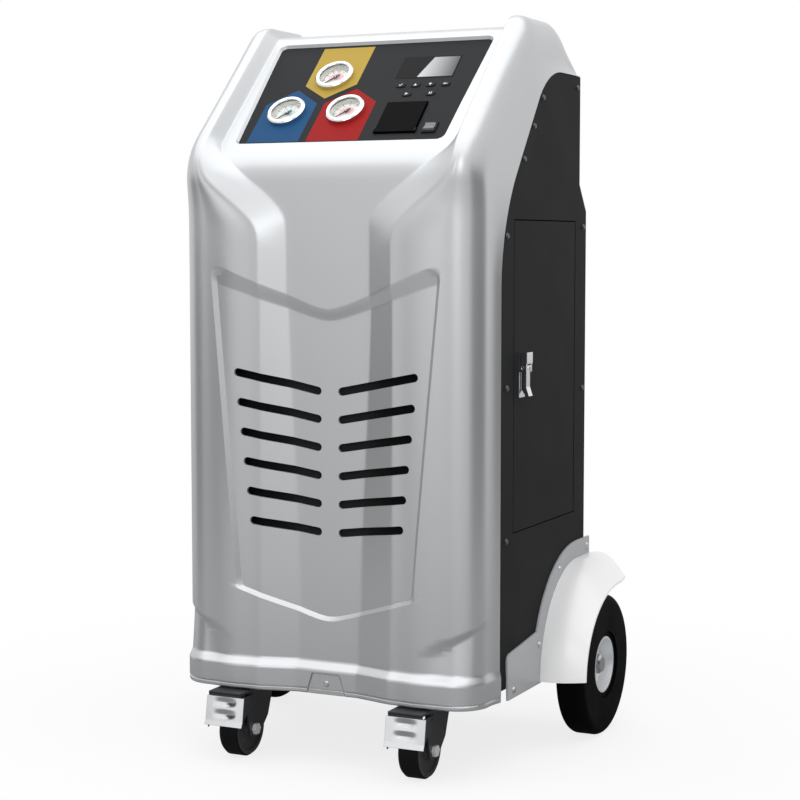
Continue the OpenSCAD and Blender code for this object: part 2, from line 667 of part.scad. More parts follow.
hinge_n = 1.2;
hinge_pin = 1.2;
cover_plate_t = 3;
module printer_body() color("#1c1c1e") place() on_panel() translate(printer_at) {
    wall = 1.5;
    ear = (printer_body_w - printer_w) / 2 - seat_gap;
    difference() {
        translate([0, 0, -46]) linear_extrude(45.4)
            square([printer_body_w, printer_body_l], center = true);
        translate([0, 0, -40]) linear_extrude(60)
            square([printer_body_w - 2 * wall, printer_body_l - 2 * wall], center = true);
    }
    for (sx = [-1, 1]) difference() {
        translate([sx * (printer_body_w / 2 - ear / 2) - ear / 2, hinge_s - 3, -2])
            cube([ear, 6, 2 + hinge_n + 2.4]);
        rod_x(-printer_body_w, 2 * printer_body_w, hinge_pin + run_fit, hinge_s, hinge_n);
    }
}
module printer_cover() color("#101012") place() on_panel() translate(printer_at) {
    translate([-printer_w / 2, -printer_l / 2, hinge_n - cover_plate_t / 2])
        cube([printer_w, printer_l, cover_plate_t]);
    rod_x(-printer_body_w / 2 + seat_gap, printer_body_w - 2 * seat_gap, hinge_pin, hinge_s, hinge_n);
}

// Service door with pivot pins at its rear corners, and its latch.
pivot_r = 2;
pivot_in = 4.5;
pivot_x = side_x - pivot_in;
pivot_y = door_back_y - pivot_in;
pivot_l = 7;
module service_door() color("#2b2b2d") place() {
    len_y = door_back_y - door_y;
    difference() {
        translate([side_x - sheet_t - door_fold, door_y, door_z])
            cube([sheet_t + door_fold, len_y, door_h]);
        translate([side_x - 2 * sheet_t - 2 * door_fold, door_y + sheet_t, door_z + sheet_t])
            cube([2 * door_fold + sheet_t, len_y - 2 * sheet_t, door_h - 2 * sheet_t]);
    }
    for (z = [door_z - pivot_l, door_z + door_h - sheet_t]) translate([pivot_x, pivot_y, z])
        cylinder(r = pivot_r, h = pivot_l + sheet_t);
}
module door_pivots() color("slategray") place() {
    ear_h = 8;
    ear_d = 12;
    for (z = [door_z - 2 * door_gap - ear_h, door_z + door_h + 2 * door_gap]) difference() {
        translate([side_in_x - ear_d, pivot_y - 8, z]) cube([ear_d, 16, ear_h]);
        translate([pivot_x, pivot_y, z - 1]) cylinder(r = pivot_r + run_fit, h = ear_h + 2);
    }
}
latch_y = door_y + 22;
latch_t = 3;
latch_block = 15;
lever_t = 8;
lever_pin = 2;
lever_w = latch_w - 7;
lever_x = side_x + latch_t + 2 * seat_gap + lever_t / 2;
lever_z = latch_z + latch_l - latch_block - lever_t / 2 - 3;
module latch_body() color("lightgray") place() {
    cheek = (latch_w - lever_w) / 2 - 0.2;
    translate([side_x, latch_y - latch_w / 2, latch_z - 2]) cube([latch_t, latch_w, latch_l]);
    translate([side_x, latch_y - latch_w / 2, latch_z + latch_l - 2 - latch_block])
        cube([2 * latch_t + lever_t, latch_w, latch_block]);
    for (sy = [-1, 1]) difference() {
        translate([side_x, latch_y + sy * (latch_w / 2 - cheek / 2) - cheek / 2, lever_z - 6])
            cube([latch_t + lever_t + 2, cheek, latch_z + latch_l - latch_block - lever_z + 6]);
        rod_y(latch_y - latch_w, 2 * latch_w, lever_pin + run_fit, lever_x, lever_z);
    }
}
module latch_lever() color("silver") place() {
    rod_y(latch_y - lever_w / 2, lever_w, lever_t / 2, lever_x, lever_z);
    rod_y(latch_y - latch_w / 2 + 0.5, latch_w - 1, lever_pin, lever_x, lever_z);
    translate([lever_x, latch_y + lever_w / 2, 0]) rotate([90, 0, 0]) linear_extrude(lever_w)
        polygon([[-lever_t / 2, lever_z], [lever_t / 2, lever_z], [lever_t / 2, latch_z + 12],
            [lever_t / 2 + 4, latch_z], [lever_t / 2 - 1, latch_z], [-lever_t / 2, latch_z + 10]]);
}

// Rear wheels, their brackets and mudguards.
arch_y = wheelbase + 19;
arch_z = axle_z - 4;
arch_ry = 0.725 * wheel_d;
arch_rz = 0.76 * wheel_d;
arch_back = back_low_y + 16 - arch_y;
band_y = 27;
band_z = 25;
bracket_x = side_x;
bracket_low = floor_z - 15;
bracket_front = side_front_y + 22;
bracket_h = 62;
function arch_screw(a) = [
    arch_y - (arch_ry + band_y / 2) * cos(a),
    arch_z + (arch_rz + band_z / 2) * sin(a)];
bracket_screws = [
    [arch_y + arch_back - edge_in, arch_z + arch_rz + band_z / 2],
    arch_screw(63), arch_screw(19),
    [bracket_front + 2 * edge_in, bracket_low + edge_in]];
ear_r = 28;
module wheel_bracket(side) color("gray") place() mirror_x(side)
    along_x(bracket_x, bracket_t) difference() {
    polygon(concat(
        [[bracket_front + 3, bracket_low], [bracket_front, bracket_low + bracket_h - 9],
         [bracket_front + 2, bracket_low + bracket_h - 3], [bracket_front + 8, bracket_low + bracket_h]],
        [for (a = [24:6:90])
            [arch_y - (arch_ry + band_y) * cos(a), arch_z + (arch_rz + band_z) * sin(a)]],
        [[arch_y + arch_back, arch_z + arch_rz + band_z], [arch_y + arch_back, bracket_low]],
        [for (a = [12:12:168]) [wheelbase + ear_r * cos(a), axle_z - ear_r * sin(a)]]));
    translate([wheelbase, axle_z]) circle(axle_d / 2);
    for (p = bracket_screws) translate(p) circle(screw_r + slide_fit);
}
module wheel_bracket_left() wheel_bracket(-1);
module wheel_bracket_right() wheel_bracket(1);
guard_in_x = bracket_x + bracket_t;
guard_out_ry = 0.68 * wheel_d;
guard_out_rz = 0.615 * wheel_d;
guard_out_y = wheelbase + 11;
guard_tail = 27;
guard_kick = 4;
foot_rise = 5;
guard_turns = 12;
guard_cross = 6;
// Point of the mudguard: f runs from its front foot over the wheel to its tail, w across it.
function guard_point(f, w, t) = let (
        a = min(90, 90 * f / 0.8),
        tail = max(0, (f - 0.8) / 0.2),
        crown = guard_crown * sin(180 * w) * mix(0.4, 1, a / 90) - t,
        cy = mix(arch_y, guard_out_y, w),
        ry = mix(arch_ry, guard_out_ry, w) + crown,
        rz = mix(arch_rz, guard_out_rz, w) + crown)
    [mix(guard_in_x, guard_x, w),
     cy - ry * cos(a) + tail * mix(arch_back, guard_tail, w),
     arch_z + rz * sin(a) + foot_rise * w * (1 - sin(a)) + guard_kick * tail * tail * w];
module guard_shell() {
    function skin(t) = [for (i = [0:guard_turns], j = [0:guard_cross])
        guard_point(i / guard_turns, j / guard_cross, t)];
    grid_solid(skin(0), skin(guard_t), guard_cross + 1);
}
module fender(side) color("white") place() mirror_x(side) guard_shell();
module fender_left() fender(-1);
module fender_right() fender(1);
cap_in = 8;
axle_end = wheel_x + wheel_w - cap_in;
module rear_axle() color("silver") place() {
    rod_x(-axle_end, 2 * axle_end, axle_d / 2, wheelbase, axle_z);
    both_sides() rod_x(guard_in_x, wheel_x - guard_in_x - 0.5, cap_r, wheelbase, axle_z);
}
cap_h = 7;
cap_r = axle_d / 2 + 5;
module axle_caps() color("silver") place() both_sides() difference() {
    translate([axle_end - cap_h + 2, wheelbase, axle_z]) rotate([0, 90, 0])
        rotate_extrude()
        polygon([[0, 0], [cap_r, 0], [cap_r, cap_h - 3], [cap_r - 3, cap_h], [0, cap_h]]);
    rod_x(axle_end - cap_h, cap_h, axle_d / 2, wheelbase, axle_z);
}
module wheel_turn(side) place() mirror_x(side)
    translate([wheel_x, wheelbase, axle_z]) rotate([0, 90, 0]) rotate_extrude($fn = 96) children();
rim_in = 3;
module tyre(side) color("#151515") wheel_turn(side) {
    r = wheel_d / 2;
    edge = wheel_w / 4;
    translate([hub_d / 2, rim_in]) square([r - edge - hub_d / 2, wheel_w - 2 * rim_in]);
    translate([hub_d / 2 + 8, 0]) square([r - edge - hub_d / 2 - 8, wheel_w]);
    translate([r - edge - eps, edge]) square([edge + eps, wheel_w - 2 * edge]);
    for (h = [edge, wheel_w - edge]) translate([r - edge, h]) circle(edge);
}
module tyre_left() tyre(-1);
module tyre_right() tyre(1);
module hub(side) color("silver") wheel_turn(side) {
    bore = axle_d / 2 + run_fit;
    boss_w = axle_end - cap_h + 2 - wheel_x - 0.5;
    web = wheel_w / 2 - 1;
    polygon([[bore, 0.5], [bore + 8, 0.5], [bore + 10, 8], [hub_d / 2 - 4, 8], [hub_d / 2 - 2, rim_in],
        [hub_d / 2, rim_in], [hub_d / 2, wheel_w - rim_in], [hub_d / 2 - 3, wheel_w - rim_in],
        [hub_d / 2 - 6, web + 2], [bore + 9, web], [bore + 7, boss_w], [bore, boss_w]]);
}
module hub_left() hub(-1);
module hub_right() hub(1);

// Swivel casters with brake pedals.
fork_drop = 14;
fork_top = floor_z - fork_drop;
fork_t = 3;
fork_gap = 1.5;
fork_in = caster_w / 2 + fork_gap;
fork_out = fork_in + fork_t;
crown_r = 27;
leg_r = 12;
caster_bolt = 5;
bolt_end = 2;
nut_r = 8;
nut_h = 5;
king_r = 6;
king_l = 12;
king_up = 4;
king_head = 4;
race_r = 24;
race_gap = 0.5;
top_plate_w = 90;
top_plate_d = 68;
top_plate_t = 3;
plate_hole_x = 36;
plate_hole_y = 25;
plate_hole_r = 4;
pedal_y = -14;
pedal_z = fork_top - 14;
pedal_pin = 3;
pin_l = 5;
tongue_in = 4;
tongue_back = 10;
module caster_at(side) place() translate([side * caster_x, 0, 0]) children();
module caster_plates() color("darkgray") for (side = [-1, 1]) caster_at(side) {
    difference() {
        translate([-top_plate_w / 2, caster_trail - top_plate_d / 2, floor_z - top_plate_t])
            cube([top_plate_w, top_plate_d, top_plate_t]);
        for (sx = [-1, 1], sy = [-1, 1])
            translate([sx * plate_hole_x, caster_trail + sy * plate_hole_y, floor_z - top_plate_t - 1])
            cylinder(r = plate_hole_r, h = top_plate_t + 2);
    }
    translate([0, caster_trail, fork_top + race_gap])
        cylinder(r = race_r, h = fork_drop - top_plate_t - race_gap + eps);
    translate([0, caster_trail, fork_top - king_l]) {
        cylinder(r = king_r, h = king_l + king_up);
        cylinder(r = king_r + king_head, h = king_l - fork_t - race_gap, $fn = 6);
    }
}
module caster_fork(side) color("#3a3a3c") caster_at(side) {
    leg_top = fork_top - fork_t + eps;
    front = pedal_y - leg_r * 2 / 3;
    difference() {
        union() {
            translate([0, caster_trail, fork_top - fork_t]) cylinder(r = crown_r, h = fork_t);
            translate([-fork_out, front, fork_top - fork_t])
                cube([2 * fork_out, caster_trail + leg_r - front, fork_t]);
            translate([-pedal_w / 2 + tongue_in, -pedal_reach + tongue_back, fork_top - fork_t])
                cube([pedal_w - 2 * tongue_in, pedal_reach - tongue_back + pedal_y, fork_t]);
        }
        translate([0, caster_trail, fork_top - king_l]) cylinder(r = king_r + run_fit, h = 2 * king_l);
    }
    for (sx = [-1, 1]) mirror_x(sx) {
        along_x(fork_in, fork_t) {
            polygon([[front, leg_top], [caster_trail + leg_r, leg_top], [leg_r - 1, caster_z - leg_r / 4],
                [1 - leg_r, caster_z - leg_r / 4], [-leg_r, caster_z + leg_r * 2 / 3],
                [front, pedal_z - 2 * pedal_pin]]);
            translate([0, caster_z]) circle(leg_r);
        }
        rod_x(fork_out - eps, pin_l, pedal_pin, pedal_y, pedal_z);
    }
    rod_x(-fork_out - bolt_end, 2 * (fork_out + bolt_end), caster_bolt, 0, caster_z);
    for (sx = [-1, 1]) mirror_x(sx) translate([fork_out - eps, 0, caster_z]) rotate([0, 90, 0])
        cylinder(r = nut_r, h = nut_h, $fn = 6);
}
module caster_fork_left() caster_fork(-1);
module caster_fork_right() caster_fork(1);
module caster_wheel(side) color("#1a1a1a") caster_at(side) translate([-caster_w / 2, 0, caster_z])
    rotate([0, 90, 0]) rotate_extrude($fn = 72) {
        r = caster_d / 2;
        bore = caster_bolt + run_fit;
        polygon([[bore, 0], [bore + 6, 0], [bore + 8, 4], [r - 9, 4], [r - 8, 1], [r - 3, 1], [r, 5],
            [r, caster_w - 5], [r - 3, caster_w - 1], [r - 8, caster_w - 1], [r - 9, caster_w - 4],
            [bore + 8, caster_w - 4], [bore + 6, caster_w], [bore, caster_w]]);
    }
module caster_wheel_left() caster_wheel(-1);
module caster_wheel_right() caster_wheel(1);
pedal_t = 2;
module caster_pedal(side) color("silver") caster_at(side) {
    foot_z = pedal_z - 32;
    along_x(-pedal_w / 2, pedal_w) polygon([
        [-pedal_reach + 8, pedal_z + 4], [-pedal_reach + 8 + pedal_t, pedal_z + 4],
        [-pedal_reach + 5 + pedal_t, foot_z + 6], [-pedal_reach + pedal_t, foot_z],
        [-pedal_reach, foot_z + 1], [-pedal_reach + 3, foot_z + 7]]);
    for (sx = [-1, 1]) mirror_x(sx) {
        along_x(fork_out + 0.4, pedal_t) difference() {
            union() {
                translate([pedal_y, pedal_z]) circle(pedal_pin + 3.5);
                polygon([[pedal_y, pedal_z + pedal_pin + 3.5], [-pedal_reach + 8.5, pedal_z + 4],
                    [-pedal_reach + 6, foot_z + 8], [-pedal_reach + 14, foot_z + 10],
                    [pedal_y, pedal_z - pedal_pin - 3.5]]);
            }
            translate([pedal_y, pedal_z]) circle(pedal_pin + run_fit);
        }
    }
}
module caster_pedal_left() caster_pedal(-1);
module caster_pedal_right() caster_pedal(1);

// Screws in the side panels and wheel brackets, one more in the cover's lower band.
module screw(x, p, grip) {
    rod_x(x - grip, grip + eps, screw_r, p[0], p[1]);
    translate([x, p[0], p[1]]) rotate([0, 90, 0]) cylinder(r1 = 4.5, r2 = 3, h = 2.2);
}
module panel_screws() color("darkgray") place() {
    both_sides() {
        for (p = side_screws) screw(side_x, p, sheet_t);
        for (p = bracket_screws) screw(bracket_x + bracket_t, p, bracket_t);
    }
    rotate([0, 0, -90]) screw(skirt_out - tab_d, [0, tab_screw_z], cover_t - tab_d);
}

// Rear connections.
module power_inlet() color("#1c1c1e") place() translate([inlet_x, back_low_y, inlet_z]) difference() {
    union() {
        translate([-inlet_w / 2 - 10, 0, -inlet_h / 2 - 3]) cube([inlet_w + 20, 3, inlet_h + 6]);
        translate([-inlet_w / 2 + slide_fit, -24, -inlet_h / 2 + slide_fit])
            cube([inlet_w - 2 * slide_fit, 24 + eps, inlet_h - 2 * slide_fit]);
    }
    difference() {
        translate([-12.5, -18, -8.5]) cube([25, 30, 17]);
        for (x = [-7, 0, 7]) translate([x - 1, -19, x == 0 ? -2 : -6]) cube([2, 12, 8]);
    }
}
port_in = 26;
port_hex_r = 16;
port_hex_h = 8;
port_neck_r = 10;
port_neck_h = 12;
port_tip_r = 7;
port_tip_h = 6;
port_bore_r = 4;
module service_ports() color("goldenrod") place() for (x = port_x) translate([x, back_low_y, port_z])
    rotate([-90, 0, 0]) difference() {
        neck_top = port_hex_h + port_neck_h;
        union() {
            translate([0, 0, -port_in]) cylinder(r = port_r, h = port_in + eps);
            cylinder(r = port_hex_r, h = port_hex_h, $fn = 6);
            translate([0, 0, port_hex_h - eps]) cylinder(r = port_neck_r, h = port_neck_h + 2);
            translate([0, 0, neck_top]) rotate_extrude()
                polygon([[0, 0], [port_neck_r, 0], [port_tip_r, port_tip_h], [0, port_tip_h]]);
        }
        translate([0, 0, -port_in - 1]) cylinder(r = port_bore_r, h = port_in + neck_top + port_tip_h + 2);
    }

// Refrigerant circuit.
tank_x = -62;
tank_y = 254;
scale_h = 22;
tank_z = tray_top + scale_h;
tank_r = tank_d / 2;
valve_x = 46;
valve_z = tank_z + tank_h;
valve_r = 11;
valve_h = 50;
valve_in = 14;
stem_r = 4;
stem_h = 72;
outlet_r = 7;
outlet_l = 26;
outlet_z = 34;
foot_ring_h = 40;
foot_ring_in = 25;
foot_ring_t = 4;
scale_w = 200;
scale_base_t = 4;
scale_top_t = 6;
beam_l = 140;
beam_w = 30;
knob_z = valve_z + 40;
knob_r = 26;
knob_rim = 6;
knob_h = 9;
boss_r = 9;
boss_h = 12;
spoke_w = 5;
module refrigerant_tank() color("steelblue") place() translate([tank_x, tank_y, tank_z]) {
    dome = 60;
    rotate_extrude($fn = 72) {
        translate([0, dome]) square([tank_r, tank_h - 2 * dome]);
        intersection() {
            for (h = [dome, tank_h - dome]) translate([0, h]) scale([tank_r / dome, 1]) circle(dome);
            square([tank_r, tank_h]);
        }
    }
    difference() {
        cylinder(r = tank_r - foot_ring_in, h = foot_ring_h);
        translate([0, 0, -1]) cylinder(r = tank_r - foot_ring_in - foot_ring_t, h = foot_ring_h + 20);
    }
    for (sx = [-1, 1]) translate([sx * valve_x, 0, tank_h - valve_in]) {
        cylinder(r = valve_r, h = valve_h);
        cylinder(r = stem_r, h = stem_h);
        translate([0, 0, outlet_z]) rotate([0, 90, sx > 0 ? 0 : 180]) cylinder(r = outlet_r, h = outlet_l);
    }
}
module tank_scale() color("silver") place() translate([tank_x, tank_y, tray_top]) {
    translate([-scale_w / 2, -scale_w / 2, 0]) cube([scale_w, scale_w, scale_base_t]);
    translate([-beam_l / 2, -beam_w / 2, scale_base_t - eps])
        cube([beam_l, beam_w, scale_h - scale_base_t - scale_top_t + 2 * eps]);
    translate([-scale_w / 2, -scale_w / 2, scale_h - scale_top_t]) cube([scale_w, scale_w, scale_top_t]);
}
module handwheel(sx) place() translate([tank_x + sx * valve_x, tank_y, knob_z]) difference() {
    union() {
        cylinder(r = boss_r, h = boss_h);
        difference() {
            cylinder(r = knob_r, h = knob_h);
            translate([0, 0, -1]) cylinder(r = knob_r - knob_rim, h = knob_h + 2);
        }
        for (a = [0:72:288]) rotate(a) translate([boss_r - 2, -spoke_w / 2, 1])
            cube([knob_r - knob_rim - boss_r + 4, spoke_w, knob_h - 3]);
    }
    translate([0, 0, -1]) cylinder(r = stem_r + run_fit, h = boss_h + 2);
}
module handwheel_liquid() color("firebrick") handwheel(-1);
module handwheel_vapour() color("royalblue") handwheel(1);
comp_at = [140, 132];
module compressor() color("#202124") place() translate([comp_at[0], comp_at[1], tray_top]) {
    foot = 10;
    r = comp_d / 2;
    for (sx = [-1, 1], sy = [-1, 1]) translate([sx * 56, sy * 56, 0]) cylinder(r = 10, h = foot + eps);
    translate([-68, -68, foot]) cube([136, 136, 4]);
    translate([0, 0, foot + 4 - eps]) rotate_extrude() {
        square([r - 14, comp_h]);
        translate([0, 14]) square([r, comp_h - 44]);
        translate([r - 14, 14]) circle(14);
        translate([r - 30, comp_h - 30]) circle(30);
    }
}
core_y = 44;
core_d = 28;
core_z = bar_low_z + bar_h;
core_h = fan_d + 42;
header_x = fan_d / 2 + 20;
header_r = 10;
module condenser() color("silver") place() {
    tubes = 15;
    fins = 17;
    tube_w = header_x - 2;
    fin_w = header_x - header_r - 4;
    for (sx = [-1, 1]) translate([sx * header_x, core_y + core_d / 2, core_z])
        cylinder(r = header_r, h = core_h);
    for (i = [0:tubes - 1])
        translate([-tube_w, core_y + 3, core_z + 8 + i * (core_h - 19) / (tubes - 1)])
        cube([2 * tube_w, core_d - 6, 3]);
    for (i = [0:fins - 1]) translate([mix(-fin_w, fin_w, i / (fins - 1)) - 0.5, core_y + 4, core_z + 4])
        cube([1, core_d - 8, core_h - 8]);
}
fan_y = core_y + core_d + 14;
fan_z = core_z + core_h / 2;
shaft_r = 4;
shroud_y = core_y + core_d - 3 + seat_gap;
shroud_d = 38;
shroud_w = fan_d + 20;
strut_w = 8;
fan_hub_r = 26;
fan_hub_l = 14;
motor_r = 34;
motor_l = 36;
module fan_motor() color("#26272a") place() translate([0, 0, fan_z]) {
    lip = 3;
    strut_l = shroud_w / 2 + 6 - motor_r + 4;
    difference() {
        translate([-shroud_w / 2, shroud_y, -core_h / 2 + 1]) cube([shroud_w, shroud_d, core_h - 2]);
        rod_y(shroud_y - 1, shroud_d + 2, fan_d / 2 + 4, 0, 0);
        translate([lip - shroud_w / 2, shroud_y - 1, -core_h / 2 - 2])
            cube([shroud_w - 2 * lip, lip + 2, core_h + 4]);
    }
    rod_y(fan_y + fan_hub_l + 6, motor_l, motor_r, 0, 0);
    rod_y(fan_y - 3, fan_hub_l + 10, shaft_r, 0, 0);
    for (a = [45:90:315]) rotate([0, a, 0])
        translate([motor_r - 4, shroud_y + shroud_d - lip - seat_gap, -strut_w / 2])
        cube([strut_l, lip, strut_w]);
}
module fan_blades() color("#404246") place() translate([0, fan_y, fan_z]) difference() {
    union() {
        rod_y(0, fan_hub_l, fan_hub_r, 0, 0);
        for (a = [0:60:300]) rotate([0, a, 0]) translate([fan_hub_r - 4, fan_hub_l / 2, 0])
            rotate([24, 0, 0]) translate([0, -1, -fan_hub_l])
            cube([fan_d / 2 - fan_hub_r + 2, 2, 2 * fan_hub_l]);
    }
    rod_y(-fan_hub_l, 3 * fan_hub_l, shaft_r + run_fit, 0, 0);
}
pump_at = [142, 282];
pump_r = 0.37 * pump_l;
module vacuum_pump() color("#8a2b25") place() translate([pump_at[0], pump_at[1], tray_top]) {
    base_t = 5;
    base_w = pump_l - 8;
    body_z = pump_r + 20;
    head_y = 0.15 * pump_l;
    head_w = 0.65 * pump_l;
    head_z = body_z - 40;
    head_h = 82;
    translate([-base_w / 2, -pump_l / 2, 0]) cube([base_w, pump_l, base_t]);
    translate([-pump_l / 4, -0.4 * pump_l, base_t - eps])
        cube([pump_l / 2, 0.8 * pump_l, body_z - pump_r + 4]);
    rod_y(2 - pump_l / 2, head_y + pump_l / 2 - 2, pump_r, 0, body_z);
    translate([-head_w / 2, head_y - eps, head_z]) cube([head_w, pump_l / 2 - 2 - head_y, head_h]);
    translate([0, pump_l / 3, head_z + head_h - eps]) cylinder(r = 9, h = 26);
}
module filter_drier() color("#3f6f46") place() {
    at_y = 215;
    len_z = 150;
    low = 430;
    r = drier_d / 2;
    off = plate_x + 2 + r + 6;
    translate([off, at_y, low]) rotate_extrude() polygon([[0, -18], [8, -18], [8, 0], [r - 8, 0], [r, 12],
        [r, len_z - 12], [r - 8, len_z], [8, len_z], [8, len_z + 18], [0, len_z + 18]]);
    for (z = [low + 30, low + len_z - 45]) translate([plate_x + 2, at_y - 20, z])
        cube([8 + r / 2, 40, 15]);
}

base_tray();
cabinet_frame();
front_cover();
side_panel_left();
side_panel_right();
rear_panel();
service_plate();
control_panel();
control_board();
display_lens();
gauge_cases();
gauge_bezels();
gauge_lenses();
needle_low();
needle_high();
needle_tank();
key_enter();
key_up();
key_down();
key_back();
key_start();
key_pause();
rocker_frame();
power_rocker();
printer_body();
printer_cover();
service_door();
door_pivots();
latch_body();
latch_lever();
wheel_bracket_left();
wheel_bracket_right();
fender_left();
fender_right();
rear_axle();
axle_caps();
tyre_left();
tyre_right();
hub_left();
hub_right();
caster_plates();
caster_fork_left();
caster_fork_right();
caster_wheel_left();
caster_wheel_right();
caster_pedal_left();
caster_pedal_right();
panel_screws();
power_inlet();
service_ports();
refrigerant_tank();
tank_scale();
handwheel_liquid();
handwheel_vapour();
compressor();
condenser();
fan_motor();
fan_blades();
vacuum_pump();
filter_drier();
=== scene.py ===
import math
import bmesh
import bpy
import numpy as np
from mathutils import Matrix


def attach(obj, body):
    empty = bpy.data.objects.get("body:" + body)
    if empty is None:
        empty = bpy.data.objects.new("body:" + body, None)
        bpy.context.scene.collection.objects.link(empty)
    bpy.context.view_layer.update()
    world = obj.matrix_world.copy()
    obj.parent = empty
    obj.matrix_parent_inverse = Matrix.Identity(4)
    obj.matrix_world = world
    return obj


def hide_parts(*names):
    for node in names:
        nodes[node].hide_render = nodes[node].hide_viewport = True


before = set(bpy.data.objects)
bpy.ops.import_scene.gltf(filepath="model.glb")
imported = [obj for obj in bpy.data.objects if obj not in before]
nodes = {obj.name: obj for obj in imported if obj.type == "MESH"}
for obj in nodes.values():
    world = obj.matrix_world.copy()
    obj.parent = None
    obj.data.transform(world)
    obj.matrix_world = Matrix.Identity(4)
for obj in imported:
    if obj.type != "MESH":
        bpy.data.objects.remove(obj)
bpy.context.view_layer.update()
print("frame loaded,", len(nodes), "nodes")

# Sizes are in mm; fore-and-aft ones start at the caster axle line, this far from the origin.
axleLine = -183.5
panel = dict(y=30.0, z=833.0, tilt=math.radians(43.8), lowWidth=304.0, topWidth=324.0, length=205.0,
             round=8.0, draft=0.7, inside=-8.0, outside=30.0)
finish = dict(coatRough=0.08, reliefMm=0.2, reliefDetail=2.0, bevelSamples=6, cloudMm=71.4, cloudDetail=4.0,
              cloudLow=0.3, cloudHigh=0.7)


def linear(hexText):
    # sRGB byte to linear light: c / 12.92 in the dark toe, else ((c + 0.055) / 1.055) ^ 2.4
    c = np.array([int(hexText[i:i + 2], 16) for i in (1, 3, 5)]) / 255
    return (*np.where(c <= 0.04045, c / 12.92, ((c + 0.055) / 1.055) ** 2.4), 1.0)


def addNode(tree, kind, ins=None, **settings):
    # One shader node: settings are its properties, ins its sockets, linked or set to a value.
    made = tree.nodes.new("ShaderNode" + kind)
    for key, value in settings.items():
        setattr(made, key, value)
    for key, value in (ins or {}).items():
        if isinstance(value, bpy.types.NodeSocket):
            tree.links.new(value, made.inputs[key])
        else:
            made.inputs[key].default_value = value
    return made


def emptyTree(owner):
    # The shader tree of a material or world, cleared.
    owner.use_nodes = True
    owner.node_tree.nodes.clear()
    return owner.node_tree


def ranged(tree, value, start, end, low=0.0, high=1.0):
    # Carries a value from one range to another and holds it at the ends.
    return addNode(tree, "MapRange", {"Value": value, "From Min": start, "From Max": end, "To Min": low,
                                      "To Max": high}).outputs[0]


def surface(name, colour, rough, metal=0.0, coat=0.0, grain=0.0, grainMm=0.5, edgeMm=0.0, mottle=0.0,
            shine=0.5, **extra):
    # A finish: grain is its relief at a real size in mm, edgeMm the rounding of its edges, mottle the
    # unevenness of its gloss and shine the strength of its plain reflection.
    made = bpy.data.materials.new(name)
    tree = emptyTree(made)
    out = addNode(tree, "OutputMaterial")
    shader = addNode(tree, "BsdfPrincipled", {
        "Base Color": linear(colour), "Roughness": rough, "Metallic": metal, "Coat Weight": coat,
        "Coat Roughness": finish["coatRough"], "Specular IOR Level": shine, **extra})
    tree.links.new(shader.outputs[0], out.inputs["Surface"])
    place = addNode(tree, "TexCoord").outputs["Object"]
    normal = None
    if edgeMm:
        normal = addNode(tree, "Bevel", {"Radius": edgeMm / 1000},
                         samples=finish["bevelSamples"]).outputs[0]
    if grain:
        noise = addNode(tree, "TexNoise", {
            "Vector": place, "Scale": 1000 / grainMm, "Detail": finish["reliefDetail"]}).outputs["Fac"]
        ins = {"Height": noise, "Strength": grain, "Distance": finish["reliefMm"] / 1000}
        if normal:
            ins["Normal"] = normal
        normal = addNode(tree, "Bump", ins).outputs[0]
    if normal:
        tree.links.new(normal, shader.inputs["Normal"])
    if mottle:
        cloud = addNode(tree, "TexNoise", {
            "Vector": place, "Scale": 1000 / finish["cloudMm"], "Detail": finish["cloudDetail"]})
        spread = ranged(tree, cloud.outputs["Fac"], finish["cloudLow"], finish["cloudHigh"], rough - mottle,
                        rough + mottle)
        tree.links.new(spread, shader.inputs["Roughness"])
    return made


def fade(material, along, start, end, low, high):
    # Lets the base colour run from low to high between two places in metres: along an axis, or outward
    # from an axle given by its y and z.
    tree = material.node_tree
    place = addNode(tree, "TexCoord").outputs["Object"]
    if isinstance(along, str):
        at = addNode(tree, "SeparateXYZ", {0: place}).outputs[along]
    else:
        off = addNode(tree, "VectorMath", {0: place, 1: (0, *along)}, operation="SUBTRACT")
        flat = addNode(tree, "VectorMath", {0: off.outputs[0], 1: (0, 1, 1)}, operation="MULTIPLY")
        at = addNode(tree, "VectorMath", {0: flat.outputs[0]}, operation="LENGTH").outputs["Value"]
    share = ranged(tree, at, start, end)
    blend = addNode(tree, "Mix", {0: share, 6: linear(low), 7: linear(high)}, data_type="RGBA")
    tree.links.new(blend.outputs[2], tree.nodes["Principled BSDF"].inputs["Base Color"])
    return material


def gridFaces(rows, cols, start=0, flip=False, wrap=False):
    # Quads of a rows by cols grid of points, numbered row by row.
    r, c = np.meshgrid(np.arange(rows - 1), np.arange(cols if wrap else cols - 1), indexing="ij")
    a, b = start + r * cols + c, start + r * cols + (c + 1) % cols
    quads = np.stack([a, b, b + cols, a + cols], -1).reshape(-1, 4)
    return quads[:, ::-1] if flip else quads


def closedShell(outer, inner):
    # Two skins on the same grid, joined round their rim.
    rows, cols = outer.shape[:2]
    n = rows * cols
    grid = np.arange(n).reshape(rows, cols)
    rim = np.concatenate([grid[0, ::-1], grid[1:, 0], grid[-1, 1:], grid[-2:0:-1, -1]])
    ring = np.stack([rim, np.roll(rim, -1), np.roll(rim, -1) + n, rim + n], -1)
    faces = np.concatenate([gridFaces(rows, cols), gridFaces(rows, cols, n, flip=True), ring])
    return np.concatenate([outer.reshape(-1, 3), inner.reshape(-1, 3)]), faces


def toFrame(points):
    # Millimetres from the axle line to metres in the frame
    return (np.asarray(points, float).reshape(-1, 3) + (0, axleLine, 0)) / 1000


def addObject(name, data):
    # An object in the scene for a mesh, a text, a light or a camera.
    made = bpy.data.objects.new(name, data)
    bpy.context.collection.objects.link(made)
    return made


